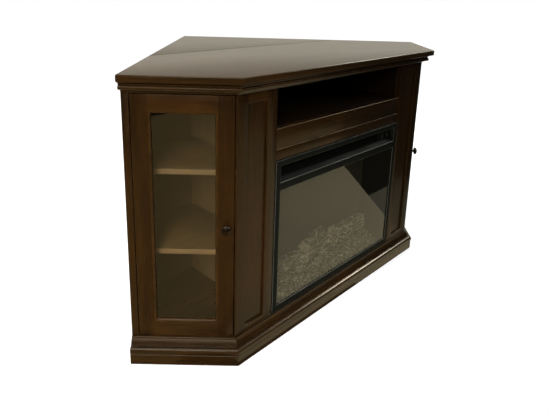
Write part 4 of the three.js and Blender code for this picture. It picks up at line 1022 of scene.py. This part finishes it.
class CONSOLE_OT_fire_bed(ConsoleStep, bpy.types.Operator):
    """Makes the resin logs and the ember bed under them"""

    bl_idname = "console.fire_bed"
    bl_label = "Logs and embers"

    def log(self, name, start, end, radius, flat, stations, seed):
        """A log from one point to another, with bark drawn out along it and sawn ends."""
        start, end = mm(*start), mm(*end)
        length = (end - start).length
        squeeze = 4.0
        step = length / squeeze / stations
        log = begin(
            name, bpy.ops.mesh.primitive_circle_add, vertices=44, radius=radius / 1000,
            fill_type="NGON", rotation=(0, math.pi / 2, 0))
        settle(log)
        edit(log)
        for index in range(stations):
            swell = 1 + 0.05 * math.sin(index * 1.9 + seed) * (0.4 + 0.6 * math.sin(index * 0.7))
            pull((
                step, 0.0012 * math.sin(index * 0.8 + seed), 0.001 * math.cos(index * 1.1 + seed)))
            bpy.ops.transform.resize(value=(1, swell, 2 - swell))
        pick("FACE", lambda c, n: abs(n.x) > 0.9)
        bpy.ops.mesh.inset(thickness=radius * 0.12 / 1000, depth=0)
        bpy.ops.mesh.inset(thickness=radius * 0.06 / 1000, depth=-0.0004)
        tidy_normals(log)
        roughen(log, "CLOUDS", 9.0, 5.0, noise_depth=3)
        roughen(log, "VORONOI", 7.0, -2.4)
        turn = Vector((1, 0, 0)).rotation_difference(end - start).to_matrix().to_4x4()
        settle(log, Matrix.Translation(start) @ turn @ Matrix.Diagonal((squeeze, 1, flat, 1)))
        smooth(log, 55)
        axis = (end - start).normalized()
        rings = cut_end(
            name + "_end", start, axis, list(palette().log_pale), list(palette().log_dark))
        return log, (rings, lambda c, n: abs(n.dot(axis)) > 0.86)

    def build(self, context):
        for name, start, end, radius, flat, stations, seed, *node in (
            ("rear_log_cast", (-204, 79.6, 152), (254, 79.6, 154), 24, 1.0, 34, 0.4, "rear_log"),
            ("left_log_cast", (-120, 50, 197), (8, 86, 199), 22.5, 0.96, 18, 2.1, "left_log"),
            ("right_log_cast", (60, 69.6, 188.3), (250, 83.6, 174.3), 20.5, 0.95, 20, 3.7,
             "right_log"),
            ("front_twig", (-170, 32, 148), (-62, 44, 121), 9.5, 0.95, 12, 5.2),
            ("middle_split", (-62, 38, 134), (42, 66, 146), 15, 0.9, 12, 6.1),
            ("left_stub", (-148, 52, 146), (-66, 58, 172), 21, 0.92, 12, 1.3),
        ):
            log, sawn = self.log(name, start, end, radius, flat, stations, seed)
            hand_over(log, "console", "log_resin", "log_bark", *node, also=[sawn])
        self.bed()
        self.chunks()

    def bed(self):
        low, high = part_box("ember_bed")
        rise, run, middle = 0.044, 0.1075, 0.120
        slope = math.atan2(rise, run)
        width, depth = high.x - low.x, high.y - low.y
        bed = begin(
            "ember_bed_cast", bpy.ops.mesh.primitive_grid_add, x_subdivisions=150,
            y_subdivisions=36, size=1,
            location=((low.x + high.x) / 2, (low.y + high.y) / 2, middle),
            rotation=(slope, 0, 0))
        bed.scale = (width, depth / math.cos(slope), 1)
        settle(bed)
        edit(bed)
        pull((0, 0, -0.03))
        bpy.ops.transform.resize(value=(1, 1, 0), center_override=(0, 0, low.z))
        tidy_normals(bed)
        group = bed.vertex_groups.new(name="crust")
        rim = 0.002
        crust = [v.index for v in bed.data.vertices if v.co.z > low.z + 0.004
                 and low.x + rim < v.co.x < high.x - rim and low.y + rim < v.co.y < high.y - rim]
        group.add(crust, 1.0, "REPLACE")
        roughen(bed, "VORONOI", 13.0, 7.0, "crust", distance_metric="DISTANCE_SQUARED")
        roughen(bed, "CLOUDS", 22.0, 6.0, "crust", noise_depth=3)
        smooth(bed, 60)
        hand_over(bed, "console", "ember_resin", "ember_bed", "ember_bed")

    def chunks(self):
        """Scatters loose chunks on the bed, evenly but without a pattern."""
        seeds = []
        for index in range(46):
            along = (index * 0.618034) % 1
            out = (index * 0.414214 + 0.2) % 1
            size = 3.2 + 5.5 * ((index * 0.732051) % 1)
            y = 17 + 30 * out * out + size * 0.3
            z = 100 + (y - 11.6) * 0.41 + size * 0.1
            seeds.append((-262 + 524 * along, y, z, size))
        first = begin(
            "ember_chunk_0", bpy.ops.mesh.primitive_ico_sphere_add, subdivisions=2, radius=0.01)
        roughen(first, "VORONOI", 9.0, 7.0)
        smooth(first, 40)
        pieces = []
        for index, (x, y, z, size) in enumerate(seeds):
            turn = Matrix.Rotation(index * 2.4, 4, (0.3, 0.5, 0.8))
            scale = Matrix.Diagonal((size / 7, size / 9, size / 11, 1))
            pieces.append(copy(
                first, "ember_piece_%d" % index, Matrix.Translation(mm(x, y, z)) @ turn @ scale))
        bpy.data.objects.remove(first)
        chunks = join(pieces, "ember_chunks")
        smooth(chunks, 40)
        hand_over(chunks, "console", "ember_resin", "ember_chunk")


# ---------------------------------------------------------------- studio
class CONSOLE_OT_studio(ConsoleStep, bpy.types.Operator):
    """Sets up the floor, the lamps, the world and the camera"""

    bl_idname = "console.studio"
    bl_label = "Studio"

    def lamp(self, name, place, target, size, watts, colour, spread, shines, lights):
        """An area lamp; shines lets reflections show it, lights lets it fall on surfaces."""
        clear()
        bpy.ops.object.light_add(type="AREA", location=place)
        lamp = bpy.context.object
        lamp.name = name
        lamp.rotation_euler = (Vector(target) - Vector(place)).to_track_quat("-Z", "Y").to_euler()
        lamp.data.shape = "RECTANGLE"
        lamp.data.size, lamp.data.size_y = size
        lamp.data.energy = watts
        lamp.data.color = colour
        lamp.data.spread = math.radians(spread)
        lamp.visible_glossy = shines
        lamp.visible_diffuse = lights

    def seen(self, finish):
        """1 where the eye, a mirror or a pane looks at the background."""
        ray = {name: finish.add("ShaderNodeLightPath", out=name) for name in (
            "Is Camera Ray", "Is Glossy Ray", "Is Transmission Ray")}
        total = ray["Is Camera Ray"] + ray["Is Glossy Ray"] + ray["Is Transmission Ray"]
        return total.at_most(1.0)

    def floor(self):
        floor = begin("studio_floor", bpy.ops.mesh.primitive_plane_add, size=24, location=(0, 0, 0))
        edit(floor)
        bpy.ops.mesh.subdivide(number_cuts=3)
        clear()
        material, finish = new_finish("pale_floor")
        pale = finish.add("ShaderNodeBsdfDiffuse", {}, {"Color": (0.5, 0.5, 0.49)})
        deep = finish.add("ShaderNodeBsdfDiffuse", {}, {"Color": (0.28, 0.25, 0.2)})
        reach = finish.add(
            "ShaderNodeVectorMath", {"operation": "LENGTH"}, {0: finish.place()}, out="Value")
        # the glow is weaker near the cabinet, so the floor there is painted a little darker:
        # painted shade round its foot
        tone = finish.blend(reach.between(0.8, 3.0), (0.8, 0.8, 0.8), (0.98, 0.98, 0.98))
        glow = finish.add("ShaderNodeEmission", {}, {"Color": tone, "Strength": 1.0})
        lit = finish.add("ShaderNodeAddShader", {}, {0: pale, 1: glow})
        finish.output(
            finish.add("ShaderNodeMixShader", {}, {0: self.seen(finish), 1: deep, 2: lit}))
        floor.data.materials.append(material)

    def world(self):
        bpy.context.scene.world = bpy.data.worlds.new("studio_world")
        finish = Finish(bpy.context.scene.world)
        eye = finish.add("ShaderNodeLightPath", out="Is Camera Ray")
        tone = finish.blend(eye, (0.9, 0.87, 0.74), (1, 1, 1))
        white = finish.add("ShaderNodeBackground", {}, {"Color": tone, "Strength": 1.0})
        room = finish.add("ShaderNodeBackground", {}, {"Color": (0.97, 0.98, 1), "Strength": 0.13})
        shader = finish.add("ShaderNodeMixShader", {}, {0: self.seen(finish), 1: room, 2: white})
        finish.add("ShaderNodeOutputWorld", {}, {"Surface": shader})

    def card(self, name, place, target, size, tone, turn=0.0):
        """A studio card, which only mirrors, lacquer and panes see."""
        card = begin(name, bpy.ops.mesh.primitive_plane_add, size=1, location=place)
        edit(card)
        bpy.ops.mesh.subdivide(number_cuts=1)
        clear()
        card.rotation_euler = (Vector(target) - Vector(place)).to_track_quat("Z", "Y").to_euler()
        card.rotation_euler.rotate_axis("Z", turn)
        card.scale = (*size, 1)
        settle(card)
        material, finish = new_finish(name + "_felt")
        finish.output(finish.add("ShaderNodeEmission", {}, {"Color": tone, "Strength": 1.0}))
        card.data.materials.append(material)
        card.visible_camera = False
        card.visible_diffuse = False
        card.visible_shadow = False

    def camera(self):
        focal, centre = 485.0, (269.3, 112.0)  # in pixels of PHOTO_SIZE
        yaw, pitch, roll = (math.radians(a) for a in (45.62, 14.17, -1.59))
        right = Vector((math.cos(yaw), -math.sin(yaw), 0))
        ahead = Vector((math.sin(yaw), math.cos(yaw), 0))
        up = ahead * math.sin(pitch) + Vector((0, 0, math.cos(pitch)))
        ahead = ahead * math.cos(pitch) - Vector((0, 0, math.sin(pitch)))
        right, up = (
            right * math.cos(roll) - up * math.sin(roll),
            right * math.sin(roll) + up * math.cos(roll))
        clear()
        bpy.ops.object.camera_add(location=mm(-1245, -872, 1024))
        camera = bpy.context.object
        camera.name = "photo_camera"
        camera.rotation_euler = Matrix((right, up, -ahead)).transposed().to_euler()
        width, height = PHOTO_SIZE
        camera.data.sensor_width = SENSOR_WIDTH
        camera.data.lens = focal / width * SENSOR_WIDTH
        camera.data.shift_x = (width / 2 - centre[0]) / width
        camera.data.shift_y = -(height / 2 - centre[1]) / width
        camera.data.clip_start, camera.data.clip_end = 0.05, 60
        bpy.context.scene.camera = camera

    def build(self, context):
        self.floor()
        self.world()
        warm, plain = (1, 0.95, 0.88), (1, 1, 1)
        for row in (
            ("key_softbox", (-2.4, -1.55, 1.3), (-0.92, -0.3, 0.42), (1.4, 1.4), 9.5, warm, 40,
             False, True),
            ("high_softbox", (-0.6, -0.4, 3.4), (0, 0, 0.6), (1.6, 1.6), 26, plain, 180,
             True, True),
            ("rear_softbox", (2.2, 2.6, 2.4), (0, 0, 0.5), (1.4, 1.4), 22, plain, 180,
             False, True),
            ("right_fill", (2.9, 0.35, 1.4), (0.5, 0, 0.4), (1.4, 1.2), 30, plain, 180,
             False, True),
            ("rear_left_fill", (-2.2, 2.8, 1.8), (0, 0.2, 0.4), (1.4, 1.2), 30, plain, 180,
             False, True),
            ("right_strip", (2.9, -1.0, 2.7), (0, -0.4, 0), (1.8, 0.7), 90, warm, 180,
             True, False),
            ("left_strip", (-2.3, -1.3, 2.5), (-0.6, -0.3, 0), (1.2, 0.5), 24, warm, 180,
             True, False),
        ):
            self.lamp(*row)
        dark, dim = (0.02, 0.018, 0.015), (0.26, 0.24, 0.17)
        olive, brown = (0.66, 0.58, 0.37), (0.42, 0.3, 0.13)
        for row in (
            ("dark_wall_front", (0.6, -6.0, 1.6), (0.6, 0, 1.6), (13.0, 4.4), dark),
            ("dark_wall_right", (6.4, -2.6, 1.6), (0, -2.6, 1.6), (7.0, 4.4), dark),
            ("dark_wall_left", (-6.0, -2.6, 1.6), (0, -2.6, 1.6), (7.0, 4.4), dark),
            ("dark_floor_front", (0.2, -3.1, 0.003), (0.2, -3.1, 2.0), (12.6, 5.9), dark),
            ("dark_floor_left", (-3.6, 0.3, 0.002), (-3.6, 0.3, 2.0), (5.4, 2.4), dark),
            ("olive_floor_front", (-0.08, -0.92, 0.006), (-0.08, -0.92, 2.0), (0.92, 0.94), olive),
            ("olive_floor_slant", (0.42, -1.39, 0.005), (0.42, -1.39, 2.0), (1.3, 1.9), olive,
             0.647),
            ("dim_floor_right", (0.75, -0.62, 0.004), (0.75, -0.62, 2.0), (0.8, 0.36), dim),
            ("brown_floor_left", (-1.75, -1.0, 0.007), (-1.75, -1.0, 2.0), (2.3, 2.8), brown),
        ):
            self.card(*row)
        self.camera()
        bpy.context.scene.view_settings.view_transform = "Standard"


STEPS = (
    CONSOLE_OT_top, CONSOLE_OT_mouldings, CONSOLE_OT_front, CONSOLE_OT_doors,
    CONSOLE_OT_shelves, CONSOLE_OT_carcass, CONSOLE_OT_leaf_hardware, CONSOLE_OT_insert,
    CONSOLE_OT_works, CONSOLE_OT_fire_bed, CONSOLE_OT_studio,
)


class CONSOLE_PT_panel(bpy.types.Panel):
    """Lists the console's settings and steps"""

    bl_idname = "CONSOLE_PT_panel"
    bl_label = "Corner fireplace console"
    bl_space_type = "VIEW_3D"
    bl_region_type = "UI"
    bl_category = "Console"

    def draw(self, context):
        for group in (context.scene.console_sizes, context.scene.console_colours):
            box = self.layout.box()
            for key in group.__annotations__:
                box.prop(group, key)
        for step in STEPS:
            self.layout.operator(step.bl_idname)


def register():
    for part in (ConsoleSizes, ConsoleColours, *STEPS, CONSOLE_PT_panel):
        bpy.utils.register_class(part)
    bpy.types.Scene.console_sizes = bpy.props.PointerProperty(type=ConsoleSizes)
    bpy.types.Scene.console_colours = bpy.props.PointerProperty(type=ConsoleColours)


def unregister():
    del bpy.types.Scene.console_colours
    del bpy.types.Scene.console_sizes
    for part in (CONSOLE_PT_panel, *reversed(STEPS), ConsoleColours, ConsoleSizes):
        bpy.utils.unregister_class(part)


def main():
    register()
    for step in STEPS:
        group, name = step.bl_idname.split(".")
        getattr(getattr(bpy.ops, group), name)()


if __name__ == "__main__":
    main()
